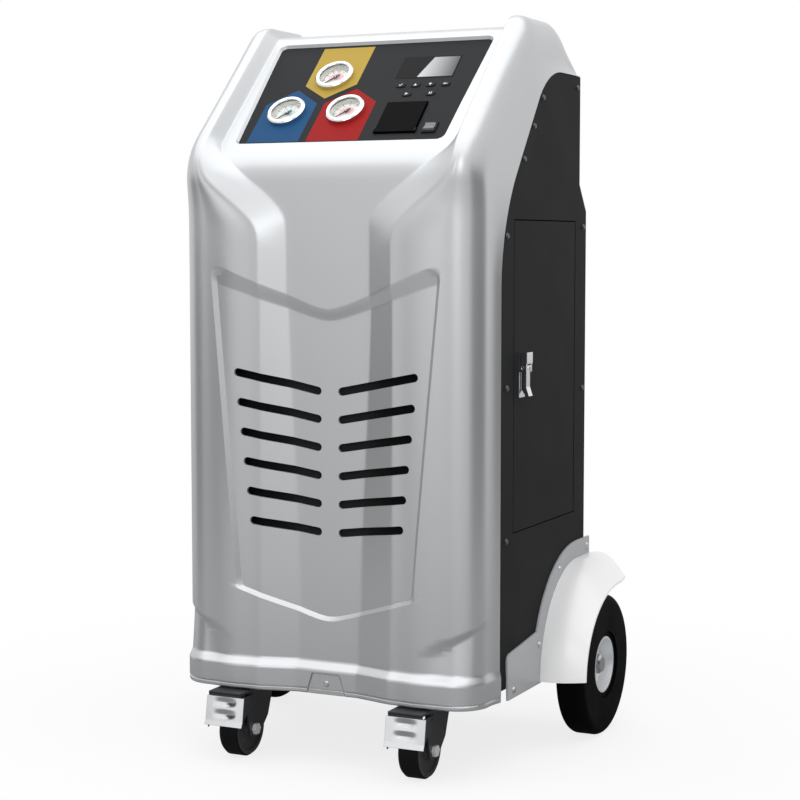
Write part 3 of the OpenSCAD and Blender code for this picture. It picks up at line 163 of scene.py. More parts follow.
def asMesh(made):
    # The object's shape with its text or its cuts worked out.
    return bpy.data.meshes.new_from_object(made.evaluated_get(bpy.context.evaluated_depsgraph_get()))


def meshObject(name, points, faces):
    # An object at the origin with its place in its mesh, points in metres.
    mesh = bpy.data.meshes.new(name)
    mesh.from_pydata(np.asarray(points, float).tolist(), [], [list(map(int, f)) for f in faces])
    return addObject(name, mesh)


def shadeSmooth(made, sharp):
    # Smooth except across edges over sharp degrees.
    made.data.polygons.foreach_set("use_smooth", np.ones(len(made.data.polygons), bool))
    made.data.set_sharp_from_angle(angle=math.radians(sharp))


def makePiece(name, points, faces, material, body, slot, sharp=30.0, stands=()):
    # A piece from points in mm, riding on a body, in place of the nodes that it stands for.
    made = meshObject(name, toFrame(points), faces)
    made.data.validate()
    shadeSmooth(made, sharp)
    made.data.materials.append(material)
    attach(made, body)
    if stands:
        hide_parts(*stands)
    return made


def onPanel(x, s, n):
    # Panel plane to the machine: y = y0 + s cos t - n sin t, z = z0 + s sin t + n cos t
    x, s, n = np.broadcast_arrays(np.asarray(x, float), s, n)
    c, k = math.cos(panel["tilt"]), math.sin(panel["tilt"])
    return np.stack([x, panel["y"] + s * c - n * k, panel["z"] + s * k + n * c], -1)


def mix(a, b, f):
    return a + (b - a) * f


def unit(rows):
    # Each row as a vector of length 1
    return rows / np.linalg.norm(rows, axis=1, keepdims=True)


def around(a):
    # Vectors of length 1 at the angles a
    return np.stack([np.cos(a), np.sin(a)], -1)


def smooth(a, b, x):
    # 0 up to a, 1 from b, f^2 (3 - 2 f) between
    f = np.clip((x - a) / (b - a), 0, 1)
    return f * f * (3 - 2 * f)


def evenly(n):
    # A row of n even shares from 0 to 1
    return np.linspace(0, 1, n)[None]


def through(x, keys, values):
    # Monotone cubic through the keys: slopes are harmonic means of the neighbouring rises.
    keys, values = np.asarray(keys, float), np.asarray(values, float)
    h = np.diff(keys)
    d = np.diff(values) / h
    slopes = np.zeros(len(keys))
    same = d[:-1] * d[1:] > 0
    slopes[1:-1][same] = 2 * d[:-1][same] * d[1:][same] / (d[:-1][same] + d[1:][same])
    x = np.clip(x, keys[0], keys[-1])
    i = np.clip(np.searchsorted(keys, x, side="right") - 1, 0, len(h) - 1)
    t = (x - keys[i]) / h[i]
    return ((1 + 2 * t) * (1 - t) ** 2 * values[i] + t * (1 - t) ** 2 * h[i] * slopes[i]
            + t * t * (3 - 2 * t) * values[i + 1] + t * t * (t - 1) * h[i] * slopes[i + 1])


def bentPath(start, keys, headings, steps=6000):
    # Lines and arcs: the heading runs straight between keys, dy/ds = cos(heading), dz/ds = sin(heading).
    s = np.linspace(0, keys[-1], steps)
    a = np.radians(np.interp(s, keys, headings))
    step = np.diff(s)
    y = start[0] + np.concatenate([[0], np.cumsum(step * (np.cos(a[:-1]) + np.cos(a[1:])) / 2)])
    z = start[1] + np.concatenate([[0], np.cumsum(step * (np.sin(a[:-1]) + np.sin(a[1:])) / 2)])
    return lambda q: (np.interp(q, s, y), np.interp(q, s, z), np.interp(q, s, a))


# Finishes: the note above each says what it gives the eye
# Satin lacquer over a moulding: broad soft streaks of light that turn with each fold
silverShell = surface("satin silver moulded plastic", "#c0c2c4", 0.36, metal=0.7, coat=0.1, grain=0.05,
                      grainMm=0.6)
# Powder coat on sheet: black with a fine orange peel and next to no reflection
blackPaint = surface("black powder-coated sheet", "#1c1c1e", 0.55, grain=0.25, grainMm=0.7, edgeMm=0.6,
                     mottle=0.02, shine=0.06)
# Sprayed steel plate: an even pale grey, with a light line along its rounded edge
greyPaint = surface("grey painted steel plate", "#aaacaf", 0.42, grain=0.08, grainMm=0.8, edgeMm=2.2)
# Gloss moulding: clean white with a soft sheen over the crown
whiteGuard = surface("white gloss moulded plastic", "#fafafa", 0.3, coat=0.2, grain=0.03)
# Painted frame: dull dark grey, soft at the folded edges
framePaint = surface("dark grey painted steel", "#4a4c50", 0.5, grain=0.15, edgeMm=0.6)
# Painted pressing: near black, with a faint sheen along the bends
forkPaint = surface("charcoal painted pressed steel", "#2c2d30", 0.42, grain=0.1, edgeMm=0.8)
# Zinc on bare sheet: cloudy grey metal that blurs what it reflects
bareSheet = surface("bare zinc-plated sheet", "#aeb2b6", 0.38, metal=1.0, mottle=0.1, edgeMm=0.4)
# Printed film: charcoal with a fine dry grain and no gloss
panelFilm = surface("charcoal printed panel film", "#2a2b2d", 0.45, grain=0.1, grainMm=0.3, shine=0.05)
# Polished plating: crisp reflections, bright along the rolled edges
chrome = surface("polished chrome", "#dcdee0", 0.12, metal=1.0, edgeMm=0.8)
# Bright zinc on a pressing: a soft mirror that darkens in the hollows
pedalZinc = surface("bright zinc-plated pressed steel", "#dfe1e3", 0.2, metal=1.0, edgeMm=0.6, mottle=0.05)
# White zinc on a bolt: pale and a little dull, so that the flats of the nut show
boltZinc = surface("white zinc-plated bolt", "#e6e7e8", 0.3, metal=0.35, edgeMm=0.5)
# Zinc on turned steel: grey metal with a cloudy gloss
zincSteel = surface("zinc-plated steel", "#b6b9bc", 0.32, metal=1.0, edgeMm=0.5, mottle=0.08)
# Cast alloy: pale silver with a faint sand texture
wheelAlloy = surface("cast alloy hub", "#e2e4e6", 0.34, metal=0.5, grain=0.05, edgeMm=0.8)
# Moulded tyre: deep matt black, a little uneven
tyreRubber = surface("black tyre rubber", "#070708", 0.62, grain=0.2, grainMm=0.8, mottle=0.08, shine=0.04)
# Rubber bonded to nylon: a black tread round dark grey sides
casterRubber = fade(surface("black rubber tread on a grey nylon wheel", "#0e0e0f", 0.5, grain=0.1,
                            mottle=0.06, shine=0.15),
                    (axleLine / 1000, 0.038), 0.0355, 0.0358, "#3c3c3e", "#0e0e0f")
# Polished moulding: black, with edges that catch a thin light
glossBlack = surface("black gloss plastic", "#070708", 0.22, edgeMm=0.5, shine=0.02)
# Textured moulding: black, with a soft sheen at the rounded edges
keyPlastic = surface("black key plastic", "#121214", 0.42, edgeMm=0.6, shine=0.12)
# Enamelled dial: warm white, hardly glossy
whitePlastic = surface("white dial enamel", "#e9e9e4", 0.4, edgeMm=0.3)
# Satin moulding: mid grey, lighter on the half that tips up
switchGrey = surface("grey switch plastic", "#7a7c7e", 0.35, edgeMm=0.5, shine=0.2)
# Cast acrylic: clear, with one small highlight
clearLens = surface("clear gauge lens", "#ffffff", 0.03, **{"Transmission Weight": 1.0, "IOR": 1.1})
# Tinted glass: near black behind a thin bright edge
smokedGlass = surface("smoked display glass", "#111214", 0.12, edgeMm=0.4, shine=0.06)
# Enamel on a thin strip: plain black
needlePaint = surface("black needle enamel", "#101010", 0.4)
# Solder mask: green, half gloss
boardGreen = surface("green circuit board", "#1f5a34", 0.45)
# Turned brass: warm metal with tight highlights
brass = surface("machined brass", "#b6923f", 0.28, metal=1.0, edgeMm=0.4)
# Stove enamel: grey-blue, with a wet gloss over the dome
tankPaint = surface("grey-blue tank enamel", "#5f7f9c", 0.3, coat=0.2, grain=0.05)
# Moulded handwheels: plain red and blue, lit along their rounded edges
redPlastic = surface("red valve plastic", "#a32a24", 0.4, edgeMm=0.6)
bluePlastic = surface("blue valve plastic", "#2c4f8f", 0.4, edgeMm=0.6)
# Dipped enamel: black with a wet gloss
compressorPaint = surface("black compressor enamel", "#17181a", 0.28, coat=0.2)
# Bare fins: pale metal with blurred light
coreAluminium = surface("bare condenser aluminium", "#b9bcbe", 0.4, metal=1.0)
# Filled moulding: dull black
fanPlastic = surface("black fan plastic", "#232427", 0.5)
# Sprayed castings: dark red and leaf green under a gloss
pumpPaint = surface("dark red pump enamel", "#7c2620", 0.32, coat=0.2, edgeMm=0.8)
drierPaint = surface("green filter enamel", "#3f6f46", 0.35, coat=0.2)
# Painted shade behind the slots: a black sheet that gives nothing back
slotShadeBlack = surface("black slot shade sheet", "#060606", 0.95, grain=0.6, grainMm=2.0)
# Screen print on film: flat strong colours under a dry varnish
yellowFilm = surface("yellow printed film", "#b2963f", 0.42, shine=0.1)
blueFilm = surface("blue printed film", "#1e4c77", 0.42, shine=0.06)
redFilm = surface("red printed film", "#981818", 0.42, shine=0.06)
# Pad print: a thin even colour, no shinier than what it is on
tealPrint = surface("teal dial print", "#b9d6d2", 0.45)
pinkPrint = surface("pink dial print", "#e2b6b9", 0.45)
blackPrint = surface("black dial print", "#1b1b1d", 0.45)
whitePrint = surface("white key print", "#e2e2e0", 0.45)
# Painted reflection of a softbox on the display: pale beside the slanting edge, darker to the right
paintedDisplayReflection = fade(surface("painted reflection on the display", "#9c9d9e", 0.3, shine=0.1),
                  "X", 0.078, 0.124, "#c6c7c8", "#58595b")
# Screws: bright on the bracket and the tab, blackened on the black panels above them
screwSteel = fade(surface("blackened and bright screw steel", "#4c4d4f", 0.35, metal=0.8, edgeMm=0.4),
                  "Z", 0.299, 0.301, "#c4c6c8", "#4c4d4f")
finishes = {
    silverShell: ["front_cover"], whiteGuard: ["fender_left", "fender_right"],
    blackPaint: ["side_panel_left", "side_panel_right", "rear_panel", "service_door"],
    framePaint: ["base_tray", "cabinet_frame", "door_pivots"], bareSheet: ["service_plate", "tank_scale"],
    panelFilm: ["control_panel"], boardGreen: ["control_board"], smokedGlass: ["display_lens"],
    whitePlastic: ["gauge_cases"], clearLens: ["gauge_lenses"], switchGrey: ["power_rocker"],
    chrome: ["gauge_bezels", "latch_body", "latch_lever"],
    pedalZinc: ["caster_pedal_left", "caster_pedal_right"],
    needlePaint: ["needle_low", "needle_high", "needle_tank"], glossBlack: ["printer_cover"],
    keyPlastic: ["key_enter", "key_up", "key_down", "key_back", "key_start", "key_pause", "rocker_frame",
                 "printer_body", "power_inlet"],
    greyPaint: ["wheel_bracket_left", "wheel_bracket_right"],
    zincSteel: ["rear_axle", "axle_caps", "caster_plates"], screwSteel: ["panel_screws"],
    tyreRubber: ["tyre_left", "tyre_right"], wheelAlloy: ["hub_left", "hub_right"],
    forkPaint: ["caster_fork_left", "caster_fork_right"],
    casterRubber: ["caster_wheel_left", "caster_wheel_right"], brass: ["service_ports"],
    tankPaint: ["refrigerant_tank"], redPlastic: ["handwheel_liquid"], bluePlastic: ["handwheel_vapour"],
    compressorPaint: ["compressor"], coreAluminium: ["condenser"], fanPlastic: ["fan_motor", "fan_blades"],
    pumpPaint: ["vacuum_pump"], drierPaint: ["filter_drier"]}
for material, names in finishes.items():
    for name in names:
        nodes[name].data.materials.clear()
        nodes[name].data.materials.append(material)
print("finishes set")

# Front cover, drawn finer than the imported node
cover = dict(
    wall=4.0, low=98.0, lobe=14.0, arm=20.0, horn=12.0, rimTop=994.0, rear=43.0, rimGap=0.3, sideGap=3.0,
    valley=220.0, lip=226.5, lipIn=3.0, lipOut=2.0, kneeR=60.0, crestR=40.0, faceCorner=38.0, bandCorner=46.0,
    armCorner=25.0, armDepth=50.0, cornerShare=0.65, crown=3.0, crownSpan=60.0, sharp=28.0,
    kneeShare=0.75, crestShare=0.55, rearShare=0.4, fineStep=2.0, coarseStep=7.0, fineAbove=20.0)
# Inner and outer edge of each lobe, from the middle of the face up to the arms; the pairs are lengths from
# the knee between which the edge, the corner or the height changes
lobe = dict(inLow=45.0, inHigh=62.0, inRise=(90.0, 600.0), inArm=174.0, outLow=98.0, outArm=186.0,
            inSweep=(-60.0, 62.0), outSweep=(-76.0, 24.0), heightSweep=(-40.0, 20.0), cornerFrom=-60.0,
            least=3.0, ease=0.07)
band = dict(groove=7.0, high=33.0, ledge=10.0, out=9.0, lipRound=2.0, grooveWall=1.5, ease=1.0,
            swell=[0.7, 0.95, 0.95, 0.72, 1, 1, 0.9, 0.1, 0])
recess = dict(deep=6.0, low=148.0, top=577.0, step=5.0, bevel=25.0, edge=6.0, lowX=132.0, topX=171.0,
              clear=0.5, droopX=170.0, tip=16.0, lowRound=14.0, topRound=24.0, roundFade=30.0, blend=40.0,
              innerShare=0.55, innerLeast=0.2, outerShare=0.85, outerLeast=0.4, ventTop=429.0, droopUp=85.0,
              droopFade=(25.0, 55.0), droop=[0, 0.323, 0.126, 0.2, 0.34, 0.4, 0.2, 0])
fold = dict(start=143.0, end=269.0, low=60.0, high=126.0, bow=0.65, deep=6.5, step=9.0, reach=66.0,
            fadeIn=0.25, fadeFrom=0.4, fadeTo=0.9)
side = dict(front=51.0, knee=725.0, slope=math.degrees(math.atan2(210, 164)), top=935.0, back=343.0,
            kneeR=250.0, topR=110.0)


def sideKeys():
    # Lengths where the side outline changes between lines and arcs.
    a = math.radians(side["slope"])
    kneeT, topT = side["kneeR"] * math.tan((math.pi / 2 - a) / 2), side["topR"] * math.tan(a / 2)
    run = (side["top"] - side["knee"]) / math.tan(a)
    o1 = side["knee"] - kneeT - cover["low"]
    o2 = o1 + side["kneeR"] * (math.pi / 2 - a)
    o3 = o2 + run / math.cos(a) - kneeT - topT
    o4 = o3 + side["topR"] * a
    return [0, o1, o2, o3, o4, o4 + side["back"] - side["front"] - run - topT]


def coverKeys():
    # Lengths where the cover's profile changes between lines and arcs, with its headings there.
    t, rear = panel["tilt"], math.radians(cover["rear"])
    rim = cover["wall"] + cover["rimGap"]
    knee = panel["z"] + rim * math.cos(t) - (panel["y"] - rim * math.sin(t)) * math.tan(t)
    kneeT = cover["kneeR"] * math.tan((math.pi / 2 - t) / 2)
    crestT, rearT = cover["crestR"] * math.tan(t / 2), cover["crestR"] * math.tan(rear / 2)
    crestY = (cover["rimTop"] - knee) / math.tan(t)
    fallY = side["back"] - (cover["rimTop"] - side["top"] - cover["sideGap"]) / math.tan(rear)
    lengths = [knee - kneeT - cover["low"], cover["kneeR"] * (math.pi / 2 - t),
               crestY / math.cos(t) - kneeT - crestT, cover["crestR"] * t, fallY - crestY - crestT - rearT,
               cover["crestR"] * rear, (side["back"] - fallY) / math.cos(rear) - rearT]
    tilt = math.degrees(t)
    headings = [90, 90, tilt, tilt, 0, 0, -cover["rear"], -cover["rear"]]
    return np.concatenate([[0], np.cumsum(lengths)]), headings


def bandMarks():
    # Lengths up the lower band where its swell changes: lip, groove, face and ledge.
    groove, high, ease = band["groove"], band["high"], band["ease"]
    ledge = high + band["ledge"]
    return [0, band["lipRound"], groove - band["lipRound"], groove, groove + band["grooveWall"], high - ease,
            high + ease, ledge - ease, ledge + ease]


def coverRows(keys):
    # Rows of the grid: close at the band, the folds and the recess's ends, wider elsewhere.
    low, top, step, bevel = (recess[key] for key in ("low", "top", "step", "bevel"))
    marks = [*bandMarks(), low - 1, low, low + step, low + step + 1, top - bevel, top, top + 1, *keys[1:]]
    marks = np.unique(np.round(marks, 3))
    fine = (marks < low + cover["fineAbove"]) | ((marks >= top - bevel) & (marks < top))
    steps = np.where(fine, cover["fineStep"], cover["coarseStep"])
    rows = [np.linspace(a, b, max(1, math.ceil((b - a) / s)), endpoint=False)
            for a, b, s in zip(marks, marks[1:], steps)]
    return np.concatenate(rows + [[marks[-1]]])


def cornerInset(v, at, r, inward):
    # How far a rounded corner of the recess draws its side edge in, d from the end:
    # r - sqrt(r^2 - (r - d)^2)
    d = np.clip((v - at) * inward, 0, r)
    inside = r - np.sqrt(np.maximum(0, r * r - (r - d) ** 2))
    beyond = r * (1 - smooth(0, recess["roundFade"], (at - v) * inward))
    return np.where((v - at) * inward < 0, beyond, inside)


def foldDepth(v, p):
    # Fold over each lower corner: under a rising line the wall steps in, then out again, fading sideways.
    f = np.clip((p - fold["start"]) / (fold["end"] - fold["start"]), 0, 1)
    under = mix(fold["low"], fold["high"], f ** fold["bow"]) - v
    dip = np.interp(under, [0, fold["step"], fold["reach"]], [0, 1, 0])
    along = smooth(0, fold["fadeIn"], f) * (1 - smooth(fold["fadeFrom"], fold["fadeTo"], f))
    return fold["deep"] * along * dip * np.clip((v - band["high"]) / band["ledge"], 0, 1)


def rampShape():
    # Slope from the middle to the lobe: a straight ramp with its two corners eased over a width r.
    r = lobe["ease"]

    def ease(q):
        return np.where(q < -r, 0, np.where(q < r, (q + r) ** 2 / (4 * r), q))

    f = np.concatenate([np.linspace(-r, r, 5), np.linspace(0.2, 0.8, 7), np.linspace(1 - r, 1 + r, 5)])[None]
    return f, ease(f) - ease(f - 1)


def coverSkin(v, t, k, o, profile, outline):
    # Half section at each length v, t inside the face: middle, slope, lobe, elliptical corner, flare.
    # The keys k of the profile and o of the side outline say where each of them bends.
    w = v[:, None]
    y, z, a = (q[:, None] for q in profile(v))
    outY, outZ = -np.sin(a), np.cos(a)
    swell = np.interp(v, bandMarks(), band["swell"])[:, None]
    rise, fall = lobe["heightSweep"]
    h = through(v, [k[1] + rise, k[2] + fall, k[3], k[4], k[5], k[7]],
                [cover["lobe"], cover["arm"], cover["arm"], cover["horn"], cover["horn"], cover["horn"] / 2])
    h = h[:, None]
    lift = h + band["out"] * swell
    crestY, crestZ = y + outY * lift, z + outZ * lift
    s = through(v, [0, o[1], *k[1:]],
                [0, o[1], mix(o[1], o[2], cover["kneeShare"]), o[2], o[3],
                 mix(o[3], o[4], cover["crestShare"]), o[4], mix(o[4], o[5], cover["rearShare"]), o[5]])
    edgeY, edgeZ, _ = (q[:, None] for q in outline(np.where(v < o[1], v, s)))
    depth = np.hypot(edgeY - crestY, edgeZ - crestZ)
    inY, inZ = (edgeY - crestY) / depth, (edgeZ - crestZ) / depth
    # Across the section: the corner's place and size, then the lobe's two edges
    wallX = mix(cover["valley"], cover["lip"] - cover["lipIn"], swell)
    endX = cover["lip"] + cover["lipOut"] * swell
    cornerR = mix(cover["faceCorner"], cover["bandCorner"], swell)
    cornerW = mix(cornerR, cover["armCorner"], smooth(k[1] + lobe["cornerFrom"], k[2], w))
    cornerD = mix(cornerR, cover["armDepth"], smooth(k[1], k[2], w))
    cornerD = np.minimum(cornerD, cover["cornerShare"] * depth)
    cornerX = wallX - cornerW
    inSweep, outSweep = (smooth(k[1] + near, k[1] + far, w)
                         for near, far in (lobe["inSweep"], lobe["outSweep"]))
    xIn = mix(mix(lobe["inLow"], lobe["inHigh"], smooth(*lobe["inRise"], w)), lobe["inArm"], inSweep)
    xOut = np.minimum(mix(lobe["outLow"], lobe["outArm"], outSweep),
                      mix(xIn, cornerX - lobe["least"], 1 / (1 + lobe["ease"])))
    low, top, bevel = recess["low"], recess["top"], recess["bevel"]
    xSide = np.minimum(np.interp(w, [low, top], [recess["lowX"], recess["topX"]]), cornerX - recess["clear"])
    xSide = xSide - cornerInset(w, low, recess["lowRound"], 1) - cornerInset(w, top, recess["topRound"], -1)
    f, ramp = rampShape()
    rampX = mix(xIn, xOut, f)
    innerX, lobeX = rampX[:, :1], rampX[:, -1:]
    above = smooth(top, top + recess["blend"], w)
    sideA = mix(xSide - recess["edge"], mix(lobeX, cornerX, recess["innerShare"]), above)
    sideA = np.maximum(sideA, mix(lobeX, cornerX, recess["innerLeast"]))
    sideB = mix(xSide, mix(lobeX, cornerX, recess["outerShare"]), above)
    sideB = np.maximum(sideB, mix(lobeX, cornerX, recess["outerLeast"]))
    middle = innerX * evenly(7)[:, :-1]
    x = np.concatenate([middle, rampX, mix(lobeX, sideA, evenly(8)[:, 1:]),
                        mix(sideA, sideB, evenly(4)[:, 1:]), mix(sideB, cornerX, evenly(5)[:, 1:-1])], 1)
    flat = middle.shape[1]
    m = np.concatenate([np.zeros(flat), ramp[0], np.ones(x.shape[1] - flat - ramp.shape[1])])[None]
    # Height over the crest line: ramp, crown of the lobe, recess, wall and fold
    g = np.clip((x - lobeX) / (cornerX - lobeX), 0, 1)
    crown = cover["crown"] * np.clip((cornerX - lobeX) / cover["crownSpan"], 0, 1) * np.sin(np.pi * g) ** 2
    inRecess = np.clip((sideB - x) / np.maximum(sideB - sideA, 1e-6), 0, 1)
    upRecess = np.interp(w, [low, low + recess["step"], top - bevel, top], [0, 1, 1, 0])
    sink = recess["deep"] * upRecess * inRecess
    height = h * (m - 1) + crown - sink - t - foldDepth(w, x)
    # The rows droop to the middle with a rounded tip: droop (X - sqrt(x^2 + tip^2)).
    droopKeys = [band["high"] + band["ledge"], low, low + recess["droopUp"], recess["ventTop"], top - bevel,
                 top, *(top + up for up in recess["droopFade"])]
    droop = through(v, droopKeys, recess["droop"])[:, None] * (w < k[1])
    droop = droop * np.maximum(0, recess["droopX"] - np.sqrt(x * x + recess["tip"] ** 2))
    faceY, faceZ = crestY + outY * height, crestZ + outZ * height - droop
    turn = np.linspace(0, np.pi / 2, 17)[None]
    bent = t + foldDepth(w, cornerX + cornerW * turn)
    d = cornerD - (cornerD - bent) * np.cos(turn)
    bendX = cornerX + (cornerW - bent) * np.sin(turn)
    q = evenly(12)[:, 1:]
    e = mix(cornerD, depth, q)
    folded = foldDepth(w, cornerX + cornerW * np.pi / 2 + e - cornerD) * (1 - q)
    flareX = wallX - t - folded + (endX - wallX) * q * q
    half = np.stack([np.concatenate([x, bendX, flareX], 1),
                     np.concatenate([faceY, crestY + inY * d, crestY + inY * e], 1),
                     np.concatenate([faceZ, crestZ + inZ * d, crestZ + inZ * e], 1)], -1)
    return np.concatenate([half[:, :0:-1] * (-1, 1, 1), half], 1)


def buildCover():
    keys, headings = coverKeys()
    outlineKeys = sideKeys()
    profile = bentPath((0, cover["low"]), keys, headings)
    outline = bentPath((side["front"], cover["low"]), outlineKeys,
                       [90, 90, side["slope"], side["slope"], 0, 0])
    v = coverRows(keys)
    skins = [coverSkin(v, t, keys, outlineKeys, profile, outline) for t in (0.0, cover["wall"])]
    return makePiece("moulded_front_cover", *closedShell(*skins), silverShell, "cabinet", "shell_plastic",
                     sharp=cover["sharp"], stands=["front_cover"])


def loft(name, ring, last):
    # Solid between two closed outlines, for cutting.
    n = len(ring)
    faces = [list(range(n))[::-1], list(range(n, 2 * n))]
    faces += [[i, (i + 1) % n, n + (i + 1) % n, n + i] for i in range(n)]
    return meshObject(name, toFrame(np.concatenate([ring, last])), faces)


def ringPrism(name, ring, width, shift):
    # Band of a width inside a closed outline, swept along a vector, for cutting.
    inner = ring - unit(ring - ring.mean(0)) * width
    n = len(ring)
    loops = np.concatenate([ring, inner, inner + shift, ring + shift])
    return meshObject(name, toFrame(loops), gridFaces(5, n, flip=True, wrap=True) % (4 * n))


def roundRing(corners, r, steps=8):
    # Counter-clockwise outline with each corner rounded to r: an arc about the point r inside both edges.
    corners = np.asarray(corners, float)
    before, after = unit(np.roll(corners, 1, 0) - corners), unit(np.roll(corners, -1, 0) - corners)
    halfAngle = np.arccos(np.clip((before * after).sum(1), -1, 1)) / 2
    bisector = unit(before + after)
    middle = corners + bisector * (r / np.sin(halfAngle))[:, None]
    sweep = np.pi / 2 - halfAngle
    a = np.arctan2(-bisector[:, 1], -bisector[:, 0])[:, None]
    a = a + sweep[:, None] * np.linspace(-1, 1, steps)[None]
    return (middle[:, None] + r * around(a)).reshape(-1, 2)


def cutAway(target, tool):
    # Cuts the tool out of the target for good and drops the tool.
    step = target.modifiers.new("cut", "BOOLEAN")
    step.operation, step.solver, step.object = "DIFFERENCE", "EXACT", tool
    result = asMesh(target)
    target.modifiers.clear()
    target.data = result
    bpy.data.objects.remove(tool)


def openingRing(n):
    # The opening widens outward by a draft, as wide as the panel's face at n = 0.
    g = panel["draft"] * n
    lowX, topX, length = panel["lowWidth"] / 2 + g, panel["topWidth"] / 2 + g, panel["length"] + g
    ring = roundRing([[-lowX, -g], [lowX, -g], [topX, length], [-topX, length]], panel["round"] + g)
    return onPanel(ring[:, 0], ring[:, 1], n)


def atFront(loop):
    # An outline in x and z, stood upright ahead of the cover.
    return np.stack([loop[:, 0], np.full(len(loop), -ahead), loop[:, 1]], -1)


ahead = 40.0  # cutting tools start this far in front of the axle line
vents = dict(rows=6, high=11.0, top=527.0, pitch=40.0, outX=131.0, inX=18.0, taper=4.4, topLean=0.2,
             lowLean=0.126, through=60.0, endPoints=9)
shell = buildCover()
cutAway(shell, loft("panel opening", openingRing(panel["inside"]), openingRing(panel["outside"])))
for row in range(vents["rows"]):
    # Stadium round the line between the slot's two ends
    outX, r = vents["outX"] - vents["taper"] * row, vents["high"] / 2
    z = vents["top"] - row * vents["pitch"]
    slant = mix(vents["topLean"], vents["lowLean"], row / (vents["rows"] - 1))
    lean = slant * (outX - vents["inX"])
    a = np.linspace(-np.pi / 2, np.pi / 2, vents["endPoints"]) + math.atan2(lean, outX - vents["inX"])
    far = np.stack([outX + r * np.cos(a), z + r * np.sin(a)], -1)
    near = np.stack([vents["inX"] - r * np.cos(a), z - lean - r * np.sin(a)], -1)
    for sign in (-1, 1):
        points = atFront(np.concatenate([far, near]) * (sign, 1))[::-sign]
        cutAway(shell, loft("slot", points, points + (0, vents["through"], 0)))
# Tab in the lower band
tab = dict(topX=21.0, lowX=30.0, low=97.0, high=127.0, round=3.0, depth=1.5, groove=2.0, grooveDeep=3.2)
points = atFront(roundRing([[-tab["lowX"], tab["low"]], [tab["lowX"], tab["low"]], [tab["topX"], tab["high"]],
                            [-tab["topX"], tab["high"]]], tab["round"]))[::-1]
back = ahead - band["out"]
cutAway(shell, loft("tab", points, points + (0, back + tab["depth"], 0)))
cutAway(shell, ringPrism("tab groove", points, tab["groove"], (0, back + tab["grooveDeep"], 0)))
shadeSmooth(shell, cover["sharp"])
print("front cover drawn,", len(shell.data.polygons), "faces")

# Black sheet behind the slots, painted shade for the dark inside: a slab, its front and back outlines joined
# by its edges
slotShade = dict(x=146.0, front=11.0, back=19.0, low=290.0, high=560.0)
outline = np.array([[-slotShade["x"], slotShade["low"]], [slotShade["x"], slotShade["low"]], [slotShade["x"], slotShade["high"]],
                    [-slotShade["x"], slotShade["high"]]])
corners = [np.insert(outline, 1, slotShade[end], axis=1) for end in ("front", "back")]
faces = [[0, 1, 2, 3], [7, 6, 5, 4], *gridFaces(2, 4, flip=True, wrap=True)]
makePiece("slot_shade_sheet", np.concatenate(corners), faces, slotShadeBlack, "cabinet", "fan_plastic")

# Mudguards: ellipses over the wheel, blended across the width and crowned between the edges
guard = dict(inX=228.5, outX=295.0, y=338.0, z=96.0, ry=145.0, rz=152.0, outRy=136.0, outRz=123.0, outY=330.0,
             back=51.0, tail=27.0, tailFrom=0.8, tailLift=4.0, crown=14.0, frontCrown=0.4, rise=5.0, wall=3.0,
             sharp=40.0, rows=61, cols=25)


def guardSkin(t):
    # A quarter ellipse up from the front, y = y0 - ry cos a, z = z0 + rz sin a, then a straight tail.
    f, w = evenly(guard["rows"]).T, evenly(guard["cols"])
    quarter = np.minimum(1, f / guard["tailFrom"])
    tail = np.maximum(0, (f - guard["tailFrom"]) / (1 - guard["tailFrom"]))
    crown = guard["crown"] * np.sin(np.pi * w) * mix(guard["frontCrown"], 1, quarter) - t
    ry = mix(guard["ry"], guard["outRy"], w) + crown
    rz = mix(guard["rz"], guard["outRz"], w) + crown
    a = np.pi / 2 * quarter
    y = mix(guard["y"], guard["outY"], w) - ry * np.cos(a) + tail * mix(guard["back"], guard["tail"], w)
    z = (guard["z"] + rz * np.sin(a) + guard["rise"] * w * (1 - np.sin(a))
         + guard["tailLift"] * tail * tail * w)
    return np.stack([np.broadcast_to(mix(guard["inX"], guard["outX"], w), y.shape), y, z], -1)


for sideName, sign in (("left", -1), ("right", 1)):
    points, faces = closedShell(*(guardSkin(t) * (sign, 1, 1) for t in (0.0, guard["wall"])))
    makePiece("mudguard_" + sideName, points, faces[:, ::sign], whiteGuard, "cabinet", "fender_white",
              sharp=guard["sharp"], stands=["fender_" + sideName])
print("mudguards drawn")

# Casters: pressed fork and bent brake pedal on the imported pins; y from the axle, x from the wheel's middle
caster = dict(x=134.5, axle=38.0, swivel=30.0, top=96.0, sheet=3.0, legIn=17.5, crown=27.0, king=6.3,
              round=6.0, legFoot=(-11.0, 13.0, 27.0), legHeel=(37.0, 50.0), legTop=(-22.0, 55.0), legToe=74.0,
              neck=(-16.0, 14.0), tongueX=24.5, tongueFront=-46.0, tongueLip=6.0, lipSheet=2.0, lipOver=1.0,
              bolt=5.0, boltOut=22.5, nut=8.0, nutOut=25.5, pin=3.0, pinGap=0.2)
pedal = dict(pinY=-14.0, pinZ=82.0, eye=6.5, half=28.5, top=89.3, topY=-43.4, knee=57.0, kneeY=-48.6,
             low=50.5, lowY=-51.8, wall=1.6, dish=2.1, dishHalf=0.7, cells=2, rows=61, cols=41,
             flangeIn=22.9, flangeOut=24.9, hook=(-50.2, 43.0), heel=(-38.0, 58.0), flangeTop=(-41.4, 88.5),
             flangeKnee=(-46.6, 60.0), flangeRound=1.2)


def ringSolid(outer, inner, a, b, axis):
    # Plate with a hole between two places on an axis: loops of as many points each, joined in turn.
    ends = ((outer, a), (outer, b), (inner, b), (inner, a))
    n = len(outer)
    points = np.concatenate([np.insert(loop, axis, at, axis=1) for loop, at in ends])
    return points, (gridFaces(5, n, wrap=True) % (4 * n)).tolist()


